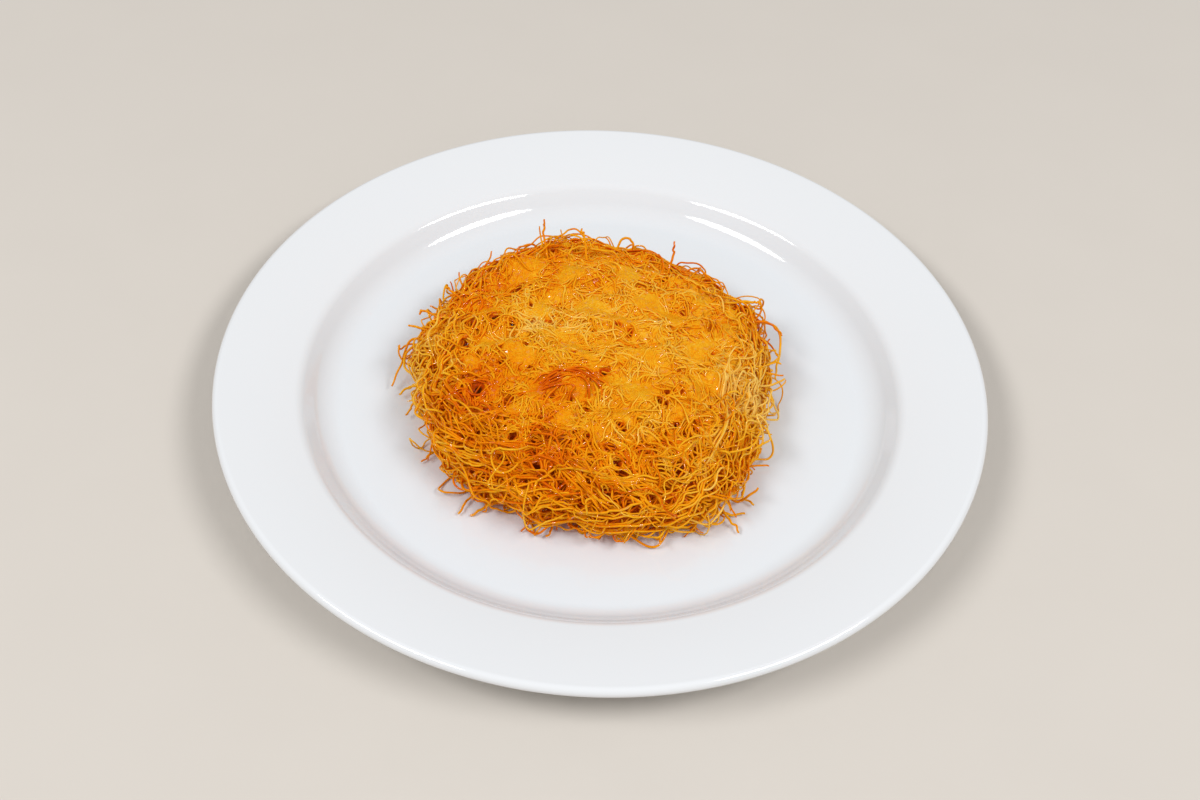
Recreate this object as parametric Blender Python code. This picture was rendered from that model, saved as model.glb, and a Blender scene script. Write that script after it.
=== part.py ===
"""A kataifi nest, a low round cushion of crisp pastry threads, served on a white rimmed plate.

Units are metres, +Z is up, and the origin is the centre of the plate's foot, on the table.
The camera side of the plate is -Y.
"""

import math
import random

import bmesh
import bpy
from mathutils import Vector, noise

MM = 0.001

# Plate: a turned porcelain shell of one thickness, with a foot ring under it.
PLATE_RADIUS = 130.0 * MM
PLATE_THICKNESS = 3.8 * MM
PLATE_SEGMENTS = 64
FLOOR_TOP = 5.5 * MM
FLOOR_RADIUS = 88.5 * MM
COVE_RADIUS = 12.0 * MM
WALL_SLOPE = math.radians(50.0)
WALL_LENGTH = 4.0 * MM
SHOULDER_RADIUS = 6.0 * MM
RIM_SLOPE = math.radians(11.8)
FOOT_OUTER = 82.0 * MM
FOOT_INNER = 77.5 * MM
FOOT_CHAMFER = 0.8 * MM

# Nest: a cushion of threads round this centre, resting just clear of the plate.
NEST_X = -3.0 * MM
NEST_Y = -1.5 * MM
NEST_GAP = 0.3 * MM
NEST_FLOOR = FLOOR_TOP + NEST_GAP
NEST_RADIUS = 63.5 * MM
NEST_HEIGHT = 27.0 * MM
EDGE_HEIGHT = 6.5 * MM
OVAL_SHARE = 0.035
OVAL_ANGLE = 118.0
UNDERSIDE_TUCK = 0.22
# Bulges and notches of the outline: angle in degrees, half-width in degrees, height.
LOBES = (
    (28.0, 18.0, 2.5 * MM),
    (166.0, 14.0, 1.5 * MM),
    (196.0, 16.0, -2.0 * MM),
    (229.0, 15.0, -2.5 * MM),
    (258.0, 15.0, -2.0 * MM),
    (304.0, 15.0, 2.5 * MM),
    (354.0, 16.0, -2.5 * MM),
)
# Swells and hollows of the top: x, y, half-width, height.
SWELLS = (
    (-10.0 * MM, -12.0 * MM, 9.0 * MM, 2.4 * MM),
    (-33.0 * MM, -19.0 * MM, 9.0 * MM, -3.2 * MM),
    (-38.0 * MM, 4.0 * MM, 7.0 * MM, -1.6 * MM),
    (-14.0 * MM, 22.0 * MM, 13.0 * MM, -1.8 * MM),
    (24.0 * MM, -16.0 * MM, 15.0 * MM, 1.6 * MM),
    (-24.0 * MM, 45.0 * MM, 16.0 * MM, 1.6 * MM),
)

# Core: the packed threads under the loose outer ones, with the lumps that their bunches make.
CORE_SHARE = 0.965
CORE_DROP = 0.9 * MM
CORE_STEP = 5.0 * MM
CORE_MOST_SECTORS = 72
LUMP_SIZE = 5.5 * MM
LUMP_HEIGHT = 1.6 * MM

# Threads that show, fused on the core at their true thickness.
THREAD_SIDES = 3
THREAD_RADIUS = 0.58 * MM
THREAD_STEP = 3.6 * MM
THREAD_SPREAD = 0.15
END_TAPER = 0.75
ROOT_DEPTH = 2.1 * MM
ROOT_SHARE = 0.25
LOWEST_SHARE = 0.93
SEED = 44

# Threads that cross the top: how many, how far out they start, steps each, bend a step in radians.
TOP_COUNT = 30
TOP_REACH = 52.0 * MM
TOP_STEPS = 9
TOP_BEND = 0.30
# Threads wound round the side: distance from the middle of the top along the skin, and how many.
SIDE_ROWS = (
    (66.0 * MM, 10),
    (72.0 * MM, 11),
    (78.0 * MM, 10),
)
SIDE_STEPS = 10
SIDE_BEND = 0.10
# Loops that stand out of the side.
LOOP_COUNT = 24
LOOP_STEPS = 7
LOOP_ROOT = 7.0 * MM


def arc(centre, radius, start, end, steps):
    """Points along an arc, as (distance from the axis, height); the angles are in radians."""
    points = []
    for i in range(steps + 1):
        angle = start + (end - start) * i / steps
        points.append((centre[0] + radius * math.cos(angle), centre[1] + radius * math.sin(angle)))
    return points


def plate_profile():
    """Half of the plate's section, from the axis over the top, round the lip and back underneath."""
    up = math.pi / 2
    cove = (FLOOR_RADIUS, FLOOR_TOP + COVE_RADIUS)
    cove_end = arc(cove, COVE_RADIUS, -up, WALL_SLOPE - up, 1)[-1]
    wall_end = (
        cove_end[0] + WALL_LENGTH * math.cos(WALL_SLOPE),
        cove_end[1] + WALL_LENGTH * math.sin(WALL_SLOPE),
    )
    shoulder = (
        wall_end[0] + SHOULDER_RADIUS * math.sin(WALL_SLOPE),
        wall_end[1] - SHOULDER_RADIUS * math.cos(WALL_SLOPE),
    )
    rim_normal = up + RIM_SLOPE
    wall_normal = up + WALL_SLOPE
    rim_start = arc(shoulder, SHOULDER_RADIUS, wall_normal, rim_normal, 1)[-1]
    half = PLATE_THICKNESS / 2
    lip_r = PLATE_RADIUS - half
    rim_mid = (rim_start[0] - half * math.cos(rim_normal), rim_start[1] - half * math.sin(rim_normal))
    lip = (lip_r, rim_mid[1] + (lip_r - rim_mid[0]) * math.tan(RIM_SLOPE))

    top = [(0.0, FLOOR_TOP), (FLOOR_RADIUS / 2, FLOOR_TOP)]
    top += arc(cove, COVE_RADIUS, -up, WALL_SLOPE - up, 4)
    top += arc(shoulder, SHOULDER_RADIUS, wall_normal, rim_normal, 2)
    top += arc(lip, half, rim_normal, rim_normal - math.pi, 5)

    inner_shoulder = SHOULDER_RADIUS - PLATE_THICKNESS
    outer_cove = COVE_RADIUS + PLATE_THICKNESS
    under = arc(shoulder, inner_shoulder, rim_normal, wall_normal, 1)
    under += arc(cove, outer_cove, WALL_SLOPE - up, -up, 3)
    recess = FLOOR_TOP - PLATE_THICKNESS
    under += [
        (FOOT_OUTER, recess),
        (FOOT_OUTER, FOOT_CHAMFER),
        (FOOT_OUTER - FOOT_CHAMFER, 0.0),
        (FOOT_INNER + FOOT_CHAMFER, 0.0),
        (FOOT_INNER, FOOT_CHAMFER),
        (FOOT_INNER, recess),
        (0.0, recess),
    ]
    return top + under


def make_material(name, colour, roughness):
    """A plain finish for one sub-part."""
    material = bpy.data.materials.new(name)
    material.use_nodes = True
    shader = material.node_tree.nodes["Principled BSDF"]
    shader.inputs["Base Color"].default_value = (*colour, 1.0)
    shader.inputs["Roughness"].default_value = roughness
    return material


def link_mesh(name, bm):
    """Turns a bmesh into a linked, smooth object."""
    mesh = bpy.data.meshes.new(name)
    bm.to_mesh(mesh)
    bm.free()
    mesh.shade_smooth()
    obj = bpy.data.objects.new(name, mesh)
    bpy.context.scene.collection.objects.link(obj)
    return obj


def make_plate():
    """The plate, turned from its profile by a Screw modifier."""
    bm = bmesh.new()
    rim = [bm.verts.new((r, 0.0, z)) for r, z in plate_profile()]
    for a, b in zip(rim, rim[1:]):
        bm.edges.new((a, b))
    plate = link_mesh("plate", bm)
    turn = plate.modifiers.new("turned", "SCREW")
    turn.steps = PLATE_SEGMENTS
    turn.render_steps = PLATE_SEGMENTS
    turn.use_merge_vertices = True
    turn.merge_threshold = 0.00002
    turn.use_smooth_shade = True
    plate.data.materials.append(make_material("white_glaze", (0.86, 0.87, 0.88), 0.12))
    return plate


def bell(distance, width):
    """1 at no distance, falling smoothly to 0 over a few widths."""
    return math.exp(-((distance / width) ** 2))


def outline_radius(angle):
    """The nest's outer radius towards an angle in radians."""
    radius = NEST_RADIUS * (1 + OVAL_SHARE * math.cos(2 * (angle - math.radians(OVAL_ANGLE))))
    for centre, width, height in LOBES:
        off = math.remainder(angle - math.radians(centre), 2 * math.pi)
        radius += height * bell(off, math.radians(width))
    return radius


def swell(x, y):
    """How far the top stands above or below the plain cushion at a place."""
    return sum(h * bell(math.hypot(x - sx, y - sy), w) for sx, sy, w, h in SWELLS)


def section(alpha):
    """The cushion's section: share of the outline radius, and height above the nest's floor.

    Alpha is 0 at the middle of the top, a quarter turn at the widest place and a half turn underneath.
    """
    if alpha <= math.pi / 2:
        share = math.sin(alpha) ** 0.68
        height = EDGE_HEIGHT + (NEST_HEIGHT - EDGE_HEIGHT) * math.cos(alpha) ** 0.78
        return share, height
    share = 1 - UNDERSIDE_TUCK * (1 - math.sin(alpha))
    return share, EDGE_HEIGHT * (1 + math.cos(alpha))


def section_table(steps=180):
    """Alpha against the length along the section from the middle of the top."""
    table = [(0.0, 0.0)]
    last = section(0.0)
    for i in range(1, steps + 1):
        alpha = math.pi * i / steps
        here = section(alpha)
        run = math.hypot((here[0] - last[0]) * NEST_RADIUS, here[1] - last[1])
        table.append((table[-1][0] + run, alpha))
        last = here
    return table


SECTION_TABLE = section_table()


def alpha_at(length):
    """The section's alpha at a length from the middle of the top."""
    for (l0, a0), (l1, a1) in zip(SECTION_TABLE, SECTION_TABLE[1:]):
        if length <= l1:
            return a0 + (a1 - a0) * (length - l0) / (l1 - l0)
    return math.pi


def skin_point(angle, alpha):
    """A point on the cushion's skin."""
    share, height = section(alpha)
    radius = outline_radius(angle) * share
    x = NEST_X + radius * math.cos(angle)
    y = NEST_Y + radius * math.sin(angle)
    top_share = max(0.0, math.cos(alpha)) ** 0.5
    return Vector((x, y, NEST_FLOOR + height + top_share * swell(x, y)))


def skin_normal(angle, alpha):
    """The outward direction of the skin, from three near points."""
    step = 0.02
    near_axis = max(alpha, 0.1)
    here = skin_point(angle, near_axis)
    down = skin_point(angle, near_axis + step) - here
    round_ = skin_point(angle + step, near_axis) - here
    normal = down.cross(round_).normalized()
    return normal if normal.z > 0 or alpha > math.pi / 2 else -normal


def lifted(angle, alpha, lift):
    """A point above the skin by lift, kept clear of the plate by a thread's thickness."""
    point = skin_point(angle, alpha) + skin_normal(angle, alpha) * lift
    point.z = max(point.z, NEST_FLOOR + THREAD_RADIUS)
    return point


def core_point(angle, alpha):
    """A point on the core: a little inside the skin, lumpy on the top and the side."""
    point = skin_point(angle, alpha)
    lump = noise.noise(point / LUMP_SIZE) * LUMP_HEIGHT
    upright = max(0.0, math.cos(alpha))
    share = CORE_SHARE + math.sin(alpha) * lump / NEST_RADIUS
    return Vector(
        (
            NEST_X + (point.x - NEST_X) * share,
            NEST_Y + (point.y - NEST_Y) * share,
            max(point.z - (CORE_DROP - lump) * upright, NEST_FLOOR),
        )
    )


def bridge_rings(bm, inner, outer):
    """Triangles between two rings of vertices that start at the same angle and may differ in number."""
    i = 0
    k = 0
    while i < len(inner) or k < len(outer):
        here = inner[i % len(inner)]
        below = outer[k % len(outer)]
        if (i + 0.5) / len(inner) < (k + 0.5) / len(outer):
            i += 1
            bm.faces.new((here, below, inner[i % len(inner)]))
        else:
            k += 1
            bm.faces.new((here, below, outer[k % len(outer)]))


def make_core():
    """The packed middle of the nest, in rings of even steps, lumpy on top and flat underneath."""
    bm = bmesh.new()
    count = round(SECTION_TABLE[-1][0] / CORE_STEP)
    step = SECTION_TABLE[-1][0] / count
    rings = []
    for i in range(1, count + 1):
        sectors = min(6 * i, CORE_MOST_SECTORS)
        alpha = alpha_at(i * step)
        rings.append([bm.verts.new(core_point(2 * math.pi * k / sectors, alpha)) for k in range(sectors)])
    top = bm.verts.new(core_point(0.0, 0.0))
    for a, b in zip(rings[0], rings[0][1:] + rings[0][:1]):
        bm.faces.new((top, a, b))
    for inner, outer in zip(rings, rings[1:]):
        bridge_rings(bm, inner, outer)
    bm.faces.new(list(reversed(rings[-1])))
    bmesh.ops.recalc_face_normals(bm, faces=bm.faces)
    return link_mesh("kataifi_nest", bm)


def make_thread(name, path, radius):
    """A closed tube of few sides along a path, tapering a little at both ends."""
    bm = bmesh.new()
    tangents = [(b - a).normalized() for a, b in zip(path, path[1:])]
    tangents.append(tangents[-1])
    side = tangents[0].orthogonal().normalized()
    rings = []
    for i, (point, tangent) in enumerate(zip(path, tangents)):
        if i:
            tangent = (tangents[i - 1] + tangent).normalized()
        side = (side - tangent * side.dot(tangent)).normalized()
        other = tangent.cross(side)
        width = radius * (END_TAPER if i in (0, len(path) - 1) else 1.0)
        ring = []
        for k in range(THREAD_SIDES):
            turn = 2 * math.pi * k / THREAD_SIDES
            ring.append(bm.verts.new(point + width * (side * math.cos(turn) + other * math.sin(turn))))
        rings.append(ring)
    for a, b in zip(rings, rings[1:]):
        for k in range(THREAD_SIDES):
            after = (k + 1) % THREAD_SIDES
            bm.faces.new((a[k], a[after], b[after], b[k]))
    bm.faces.new(list(reversed(rings[0])))
    bm.faces.new(rings[-1])
    bmesh.ops.recalc_face_normals(bm, faces=bm.faces)
    return link_mesh(name, bm)


def walk(rng, angle, length_out, heading, steps, bend, lift):
    """A thread over the skin that starts and ends rooted in the core.

    The walk is made on the skin laid out flat: length_out is the distance from the middle of the top.
    """
    x = length_out * math.cos(angle)
    y = length_out * math.sin(angle)
    limit = SECTION_TABLE[-1][0] * LOWEST_SHARE
    turn = rng.gauss(0, bend)
    path = []
    for i in range(steps + 1):
        share = i / steps
        root = max(0.0, 1 - min(share, 1 - share) / ROOT_SHARE)
        out = min(math.hypot(x, y), limit)
        path.append(lifted(math.atan2(y, x), alpha_at(out), lift * (1 - root) - ROOT_DEPTH * root))
        turn = 0.6 * turn + rng.gauss(0, bend)
        heading += turn
        x += THREAD_STEP * math.cos(heading)
        y += THREAD_STEP * math.sin(heading)
    return path


def top_threads(rng):
    """Threads that cross the top and its slopes in every direction, started on a sunflower's spiral."""
    golden = math.pi * (3 - math.sqrt(5))
    paths = []
    for i in range(TOP_COUNT):
        out = TOP_REACH * math.sqrt((i + 0.5) / TOP_COUNT)
        heading = rng.uniform(0, 2 * math.pi)
        lift = rng.uniform(0.2, 0.8) * MM
        paths.append(walk(rng, i * golden, out, heading, TOP_STEPS, TOP_BEND, lift))
    return paths


def side_threads(rng):
    """Long threads that run round the side, as wound in the nest."""
    paths = []
    for row, (out, count) in enumerate(SIDE_ROWS):
        for i in range(count):
            angle = 2 * math.pi * (i + 0.37 * row) / count + rng.uniform(-0.12, 0.12)
            heading = angle + math.pi / 2 + rng.uniform(-0.35, 0.10)
            lift = rng.uniform(0.5, 1.6) * MM
            paths.append(walk(rng, angle, out, heading, SIDE_STEPS, SIDE_BEND, lift))
    return paths


def loop_threads(rng):
    """Loops that stand out of the side and go back in, which make the lacy edge."""
    paths = []
    for i in range(LOOP_COUNT):
        angle = 2 * math.pi * (i + rng.uniform(-0.3, 0.3)) / LOOP_COUNT
        spread = rng.uniform(0.06, 0.13)
        reach = rng.uniform(1.0, 4.0) * MM
        alpha = rng.uniform(1.15, 1.75)
        tilt = rng.uniform(-0.25, 0.25)
        path = []
        for k in range(LOOP_STEPS + 1):
            share = k / LOOP_STEPS
            bow = math.sin(math.pi * share)
            lift = (LOOP_ROOT + reach) * bow**0.8 - LOOP_ROOT
            path.append(lifted(angle + spread * (2 * share - 1), alpha + tilt * (share - 0.5), lift))
        paths.append(path)
    return paths


def smooth_path(points, steps):
    """A smooth curve through a few points, by Catmull-Rom spans of as many steps each."""
    ends = [points[0] * 2 - points[1], *points, points[-1] * 2 - points[-2]]
    path = []
    for a, b, c, d in zip(ends, ends[1:], ends[2:], ends[3:]):
        for i in range(steps):
            t = i / steps
            path.append(
                0.5 * (2 * b + (c - a) * t + (2 * a - 5 * b + 4 * c - d) * t**2 + (3 * b - a - 3 * c + d) * t**3)
            )
    path.append(points[-1].copy())
    return path


def stray_threads():
    """The longest loose ends and hooks that stand out of the nest, placed as they lie in the photograph.

    Each is a few points of angle in degrees, distance out from the nest's centre and height over its floor.
    """
    strays = (
        ((170, 52, 13), (170, 62, 14), (172, 65, 11), (176, 66, 7), (181, 69, 2)),
        ((183, 52, 9), (180, 62, 8), (175, 65, 9), (171, 62, 12), (169, 53, 14)),
        ((182, 52, 8), (182, 60, 5), (184, 66, 2)),
        ((188, 51, 8), (190, 60, 5), (193, 64, 2)),
        ((234, 50, 5), (232, 60, 2), (233, 68, 1)),
        ((261, 50, 4), (260, 60, 2), (259, 64, 1)),
        ((274, 53, 6), (281, 61, 3), (287, 67, 1), (291, 68, 2), (295, 63, 7), (297, 54, 9)),
        ((311, 54, 6), (311, 68, 3), (311, 75, 1)),
        ((326, 52, 7), (322, 64, 4), (320, 66, 2), (320, 71, 1)),
        ((316, 54, 6), (317, 66, 2), (321, 71, 9)),
        ((342, 50, 10), (342, 61, 9), (337, 66, 4), (333, 61, 3), (331, 52, 5)),
        ((358, 50, 12), (355, 60, 10), (351, 60, 8), (349, 50, 7)),
        ((26, 52, 17), (22, 66, 15), (16, 67, 12), (10, 64, 9), (5, 63, 8)),
        ((24, 51, 18), (21, 63, 18), (16, 67, 16)),
        ((36, 48, 20), (28, 60, 22), (26, 63, 22)),
        ((59, 46, 20), (60, 52, 26), (61, 54, 31)),
        ((95, 44, 21), (96, 51, 28), (97, 53, 30)),
        ((112, 46, 21), (111, 55, 28), (110, 57, 33)),
        ((152, 46, 18), (152, 57, 22), (152, 59, 23)),
        ((161, 50, 15), (161, 62, 18), (162, 64, 17)),
        ((165, 50, 13), (166, 62, 15), (166, 66, 15)),
    )
    paths = []
    for stray in strays:
        points = []
        for degrees, out, height in stray:
            angle = math.radians(degrees)
            points.append(
                Vector(
                    (
                        NEST_X + out * MM * math.cos(angle),
                        NEST_Y + out * MM * math.sin(angle),
                        NEST_FLOOR + max(height * MM, THREAD_RADIUS),
                    )
                )
            )
        paths.append(smooth_path(points, 3))
    return paths


def keep_largest_body(obj):
    """Drops sealed hollows and loose scraps, so that the object is one body joined face to face."""
    bm = bmesh.new()
    bm.from_mesh(obj.data)
    bmesh.ops.dissolve_degenerate(bm, dist=1e-6, edges=bm.edges)
    left = set(bm.faces)
    bodies = []
    while left:
        front = [left.pop()]
        body = list(front)
        while front:
            for edge in front.pop().edges:
                near = [face for face in edge.link_faces if face in left]
                left.difference_update(near)
                body.extend(near)
                front.extend(near)
        bodies.append(body)
    largest = max(bodies, key=len)
    scraps = [face for body in bodies if body is not largest for face in body]
    bmesh.ops.delete(bm, geom=scraps, context="FACES")
    bm.to_mesh(obj.data)
    bm.free()


def make_nest():
    """The core with the threads that show fused on it, as one solid."""
    nest = make_core()
    rng = random.Random(SEED)
    threads = bpy.data.collections.new("threads")
    bpy.context.scene.collection.children.link(threads)
    paths = top_threads(rng) + side_threads(rng) + loop_threads(rng) + stray_threads()
    for i, path in enumerate(paths):
        radius = THREAD_RADIUS * (1 + rng.uniform(-THREAD_SPREAD, THREAD_SPREAD))
        thread = make_thread(f"thread_{i:03d}", path, radius)
        threads.objects.link(thread)
        bpy.context.scene.collection.objects.unlink(thread)
    fuse = nest.modifiers.new("fused", "BOOLEAN")
    fuse.operation = "UNION"
    fuse.operand_type = "COLLECTION"
    fuse.collection = threads
    fuse.solver = "MANIFOLD"
    bpy.context.view_layer.update()
    graph = bpy.context.evaluated_depsgraph_get()
    fused = bpy.data.meshes.new_from_object(nest.evaluated_get(graph))
    nest.modifiers.remove(fuse)
    nest.data = fused
    for thread in list(threads.objects):
        bpy.data.objects.remove(thread)
    bpy.data.collections.remove(threads)
    keep_largest_body(nest)
    nest.data.materials.clear()
    nest.data.materials.append(make_material("crisp_threads", (0.80, 0.38, 0.05), 0.45))
    return nest


def main():
    for obj in list(bpy.data.objects):
        bpy.data.objects.remove(obj)
    plate = make_plate()
    nest = make_nest()
    served = bpy.data.objects.new("served_nest", None)
    bpy.context.scene.collection.objects.link(served)
    plate.parent = served
    nest.parent = served


main()
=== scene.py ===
"""The looks of a kataifi nest on its plate: thousands of crisp fried pastry threads on white porcelain.

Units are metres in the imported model's own frame: +Z is up, and the photograph was taken from the -Y side.
"""

import logging
import math
from dataclasses import dataclass
from enum import Enum

import bpy
import numpy as np
from mathutils import Matrix, Vector, noise


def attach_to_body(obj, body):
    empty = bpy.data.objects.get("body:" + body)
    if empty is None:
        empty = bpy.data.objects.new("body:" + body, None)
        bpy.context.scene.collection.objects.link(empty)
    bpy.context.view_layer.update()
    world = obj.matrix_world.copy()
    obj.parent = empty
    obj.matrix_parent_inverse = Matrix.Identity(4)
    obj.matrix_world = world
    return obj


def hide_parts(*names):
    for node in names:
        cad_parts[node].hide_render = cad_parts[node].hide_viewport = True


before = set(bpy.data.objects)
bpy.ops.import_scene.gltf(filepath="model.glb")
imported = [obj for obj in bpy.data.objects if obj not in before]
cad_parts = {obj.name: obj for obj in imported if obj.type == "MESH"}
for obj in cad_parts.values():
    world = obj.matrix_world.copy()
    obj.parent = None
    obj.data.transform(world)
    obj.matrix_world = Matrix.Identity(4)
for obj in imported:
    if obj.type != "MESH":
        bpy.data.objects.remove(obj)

LOG = logging.getLogger("kataifi_nest")
MM = 0.001
BODY = "root"
NEST_NODE = "kataifi_nest"
PLATE_NODE = "plate"
TURN = 2 * math.pi
GOLDEN_ANGLE = math.pi * (3 - math.sqrt(5))


class Signal:
    """A shader socket that carries a number or a colour, with the arithmetic that the finishes use."""

    def __init__(self, recipe: "Recipe", socket: bpy.types.NodeSocket) -> None:
        """Wraps one output socket.

        Args:
            recipe: The material that the socket belongs to.
            socket: The output socket.
        """
        self.recipe = recipe
        self.socket = socket

    def math(self, operation: str, *others: "Signal | float", clamp: bool = False) -> "Signal":
        """Adds a Math node that takes this value first.

        Args:
            operation: The Math node's operation.
            others: The values after this one.
            clamp: Whether the result is kept between 0 and 1.

        Returns:
            The node's result.
        """
        inputs = dict(enumerate((self, *others)))
        return self.recipe.node("ShaderNodeMath", {"operation": operation, "use_clamp": clamp}, inputs)

    def __add__(self, other: "Signal | float") -> "Signal":
        """This value plus another."""
        return self.math("ADD", other)

    def __radd__(self, other: float) -> "Signal":
        """A number plus this value."""
        return self.math("ADD", other)

    def __sub__(self, other: "Signal | float") -> "Signal":
        """This value less another."""
        return self.math("SUBTRACT", other)

    def __rsub__(self, other: float) -> "Signal":
        """A number less this value."""
        return (self * -1.0) + other

    def __mul__(self, other: "Signal | float") -> "Signal":
        """This value times another."""
        return self.math("MULTIPLY", other)

    def __rmul__(self, other: float) -> "Signal":
        """A number times this value."""
        return self.math("MULTIPLY", other)

    def __pow__(self, power: float) -> "Signal":
        """This value to a power."""
        return self.math("POWER", power)

    def clamped(self) -> "Signal":
        """This value kept between 0 and 1."""
        return self.math("ADD", 0.0, clamp=True)

    def exp(self) -> "Signal":
        """The natural exponential of this value."""
        return self.math("EXPONENT")


class Recipe:
    """A material whose nodes are added one call at a time."""

    def __init__(self, name: str) -> None:
        """Starts a material with one Principled shader.

        Args:
            name: The material's name.
        """
        self.material = bpy.data.materials.new(name)
        self.material.use_nodes = True
        self.tree = self.material.node_tree
        self.shader = self.tree.nodes["Principled BSDF"]

    def node(
        self,
        kind: str,
        settings: dict | None = None,
        inputs: dict | None = None,
        output: int | str = 0,
    ) -> Signal:
        """Adds a node.

        Args:
            kind: The node's type.
            settings: Its properties, set first; "stops" are a ramp's (place, colour) pairs.
            inputs: Values or links, by socket name or number.
            output: Which output is wanted.

        Returns:
            That output.
        """
        made = self.tree.nodes.new(kind)
        for name, value in (settings or {}).items():
            if name == "stops":
                self._fill_ramp(made.color_ramp, value)
            else:
                setattr(made, name, value)
        for key, value in (inputs or {}).items():
            self._feed(made.inputs[key], value)
        return Signal(self, made.outputs[output])

    def _feed(self, socket: bpy.types.NodeSocket, value: "Signal | float | tuple") -> None:
        """Links or sets one input socket.

        Args:
            socket: The socket.
            value: What it gets.
        """
        if isinstance(value, Signal):
            self.tree.links.new(value.socket, socket)
        else:
            socket.default_value = value

    @staticmethod
    def _fill_ramp(ramp: bpy.types.ColorRamp, stops: tuple) -> None:
        """Sets a colour ramp's stops.

        Args:
            ramp: The ramp.
            stops: Its (place, colour) pairs, lowest place first.
        """
        while len(ramp.elements) < len(stops):
            ramp.elements.new(1.0)
        for element, (place, colour) in zip(ramp.elements, stops):
            element.position = place
            element.color = (*colour, 1.0)

    def set(self, **values: "Signal | float | tuple") -> None:
        """Sets or links the shader's own sockets; an underscore in a name stands for a space.

        Args:
            values: What each socket gets.
        """
        for name, value in values.items():
            self._feed(self.shader.inputs[name.replace("_", " ")], value)

    def place(self) -> tuple[Signal, Signal, Signal, Signal]:
        """The point on the object, in metres.

        Returns:
            The point as a vector, then its x, y and z.
        """
        point = self.node("ShaderNodeTexCoord", output="Object")
        split = self.tree.nodes.new("ShaderNodeSeparateXYZ")
        self.tree.links.new(point.socket, split.inputs[0])
        return (point, *(Signal(self, out) for out in split.outputs))

    def noise(self, point: Signal, grain: float, detail: float = 2.0) -> Signal:
        """Smooth noise between 0 and 1.

        Args:
            point: Where.
            grain: The size of its lumps, in metres.
            detail: How many finer layers it has.

        Returns:
            The noise.
        """
        return self.node("ShaderNodeTexNoise", inputs={"Vector": point, "Scale": 1 / grain, "Detail": detail})

    def blend(self, share: Signal, first: tuple, second: tuple) -> Signal:
        """A colour between two others.

        Args:
            share: 0 for the first, 1 for the second.
            first: A linear colour.
            second: Another.

        Returns:
            The colour.
        """
        made = self.tree.nodes.new("ShaderNodeMix")
        made.data_type = "RGBA"
        wanted = [socket for socket in made.inputs if socket.enabled]
        for socket, value in zip(wanted, (share, (*first, 1.0), (*second, 1.0))):
            self._feed(socket, value)
        return Signal(self, next(socket for socket in made.outputs if socket.enabled))

    def bump(self, height: Signal, distance: float, strength: float) -> Signal:
        """A normal that follows a height.

        Args:
            height: The height, between 0 and 1.
            distance: What 1 stands for, in metres.
            strength: How much of it shows.

        Returns:
            The normal.
        """
        inputs = {"Height": height, "Distance": distance, "Strength": strength}
        return self.node("ShaderNodeBump", inputs=inputs)


@dataclass(frozen=True)
class BrowningAndShade:
    """A place of the nest painted darker or paler: partly how much it browned, partly painted shade and
    light.
    """

    x: float
    y: float
    width: float
    amount: float

    def at(self, x: Signal, y: Signal) -> Signal:
        """How much it darkens or lightens a point.

        Args:
            x: The point's x.
            y: The point's y.

        Returns:
            The amount, falling smoothly to 0 over a few widths.
        """
        across = (x - self.x * MM) * (1 / (self.width * MM))
        along = (y - self.y * MM) * (1 / (self.width * MM))
        return (across * across * -1.0 - along * along).exp() * self.amount


# Where the nest is painted browner or paler, in millimetres, as in the photograph: partly how it browned and
# how pale it stayed, partly painted shade at the front and in the hollow at the front left, and painted light
# that lifts the sides out of the shade of their gaps.
BROWNINGS_AND_SHADES = (
    BrowningAndShade(-24.0, 8.0, 9.0, -0.26),
    BrowningAndShade(-12.0, 11.0, 8.0, -0.16),
    BrowningAndShade(4.0, 12.0, 18.0, -0.06),
    BrowningAndShade(44.0, -14.0, 9.0, -0.18),
    BrowningAndShade(-47.0, 24.0, 11.0, 0.12),
    BrowningAndShade(-33.0, 40.0, 11.0, 0.06),
    BrowningAndShade(-8.0, 50.0, 14.0, -0.06),
    BrowningAndShade(30.0, 22.0, 20.0, -0.08),
    BrowningAndShade(-17.0, -20.0, 6.0, 0.30),
    BrowningAndShade(-6.0, -18.0, 6.0, 0.24),
    BrowningAndShade(-38.0, -20.0, 13.0, 0.27),
    BrowningAndShade(-48.0, -32.0, 13.0, 0.06),
    BrowningAndShade(-36.0, -46.0, 12.0, 0.12),
    BrowningAndShade(-14.0, -50.0, 14.0, 0.27),
    BrowningAndShade(14.0, -60.0, 16.0, 0.09),
    BrowningAndShade(54.0, 20.0, 7.0, 0.16),
    BrowningAndShade(55.0, -12.0, 14.0, -0.34),
    BrowningAndShade(58.0, 10.0, 10.0, -0.18),
    BrowningAndShade(-62.0, -4.0, 12.0, -0.20),
)

# Linear colours of fried pastry, from the palest to the darkest; the stops past 1.0 mostly serve the painted
# shade in the gaps and inside the nest.
FRIED = (
    (0.00, (0.84, 0.522, 0.108)),
    (0.25, (0.80, 0.400, 0.013)),
    (0.50, (0.77, 0.272, 0.002)),
    (0.72, (0.71, 0.150, 0.001)),
    (1.00, (0.54, 0.066, 0.001)),
    (1.30, (0.46, 0.050, 0.001)),
    (1.60, (0.09, 0.018, 0.002)),
)
HEAT_SPAN = 1.6


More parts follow.
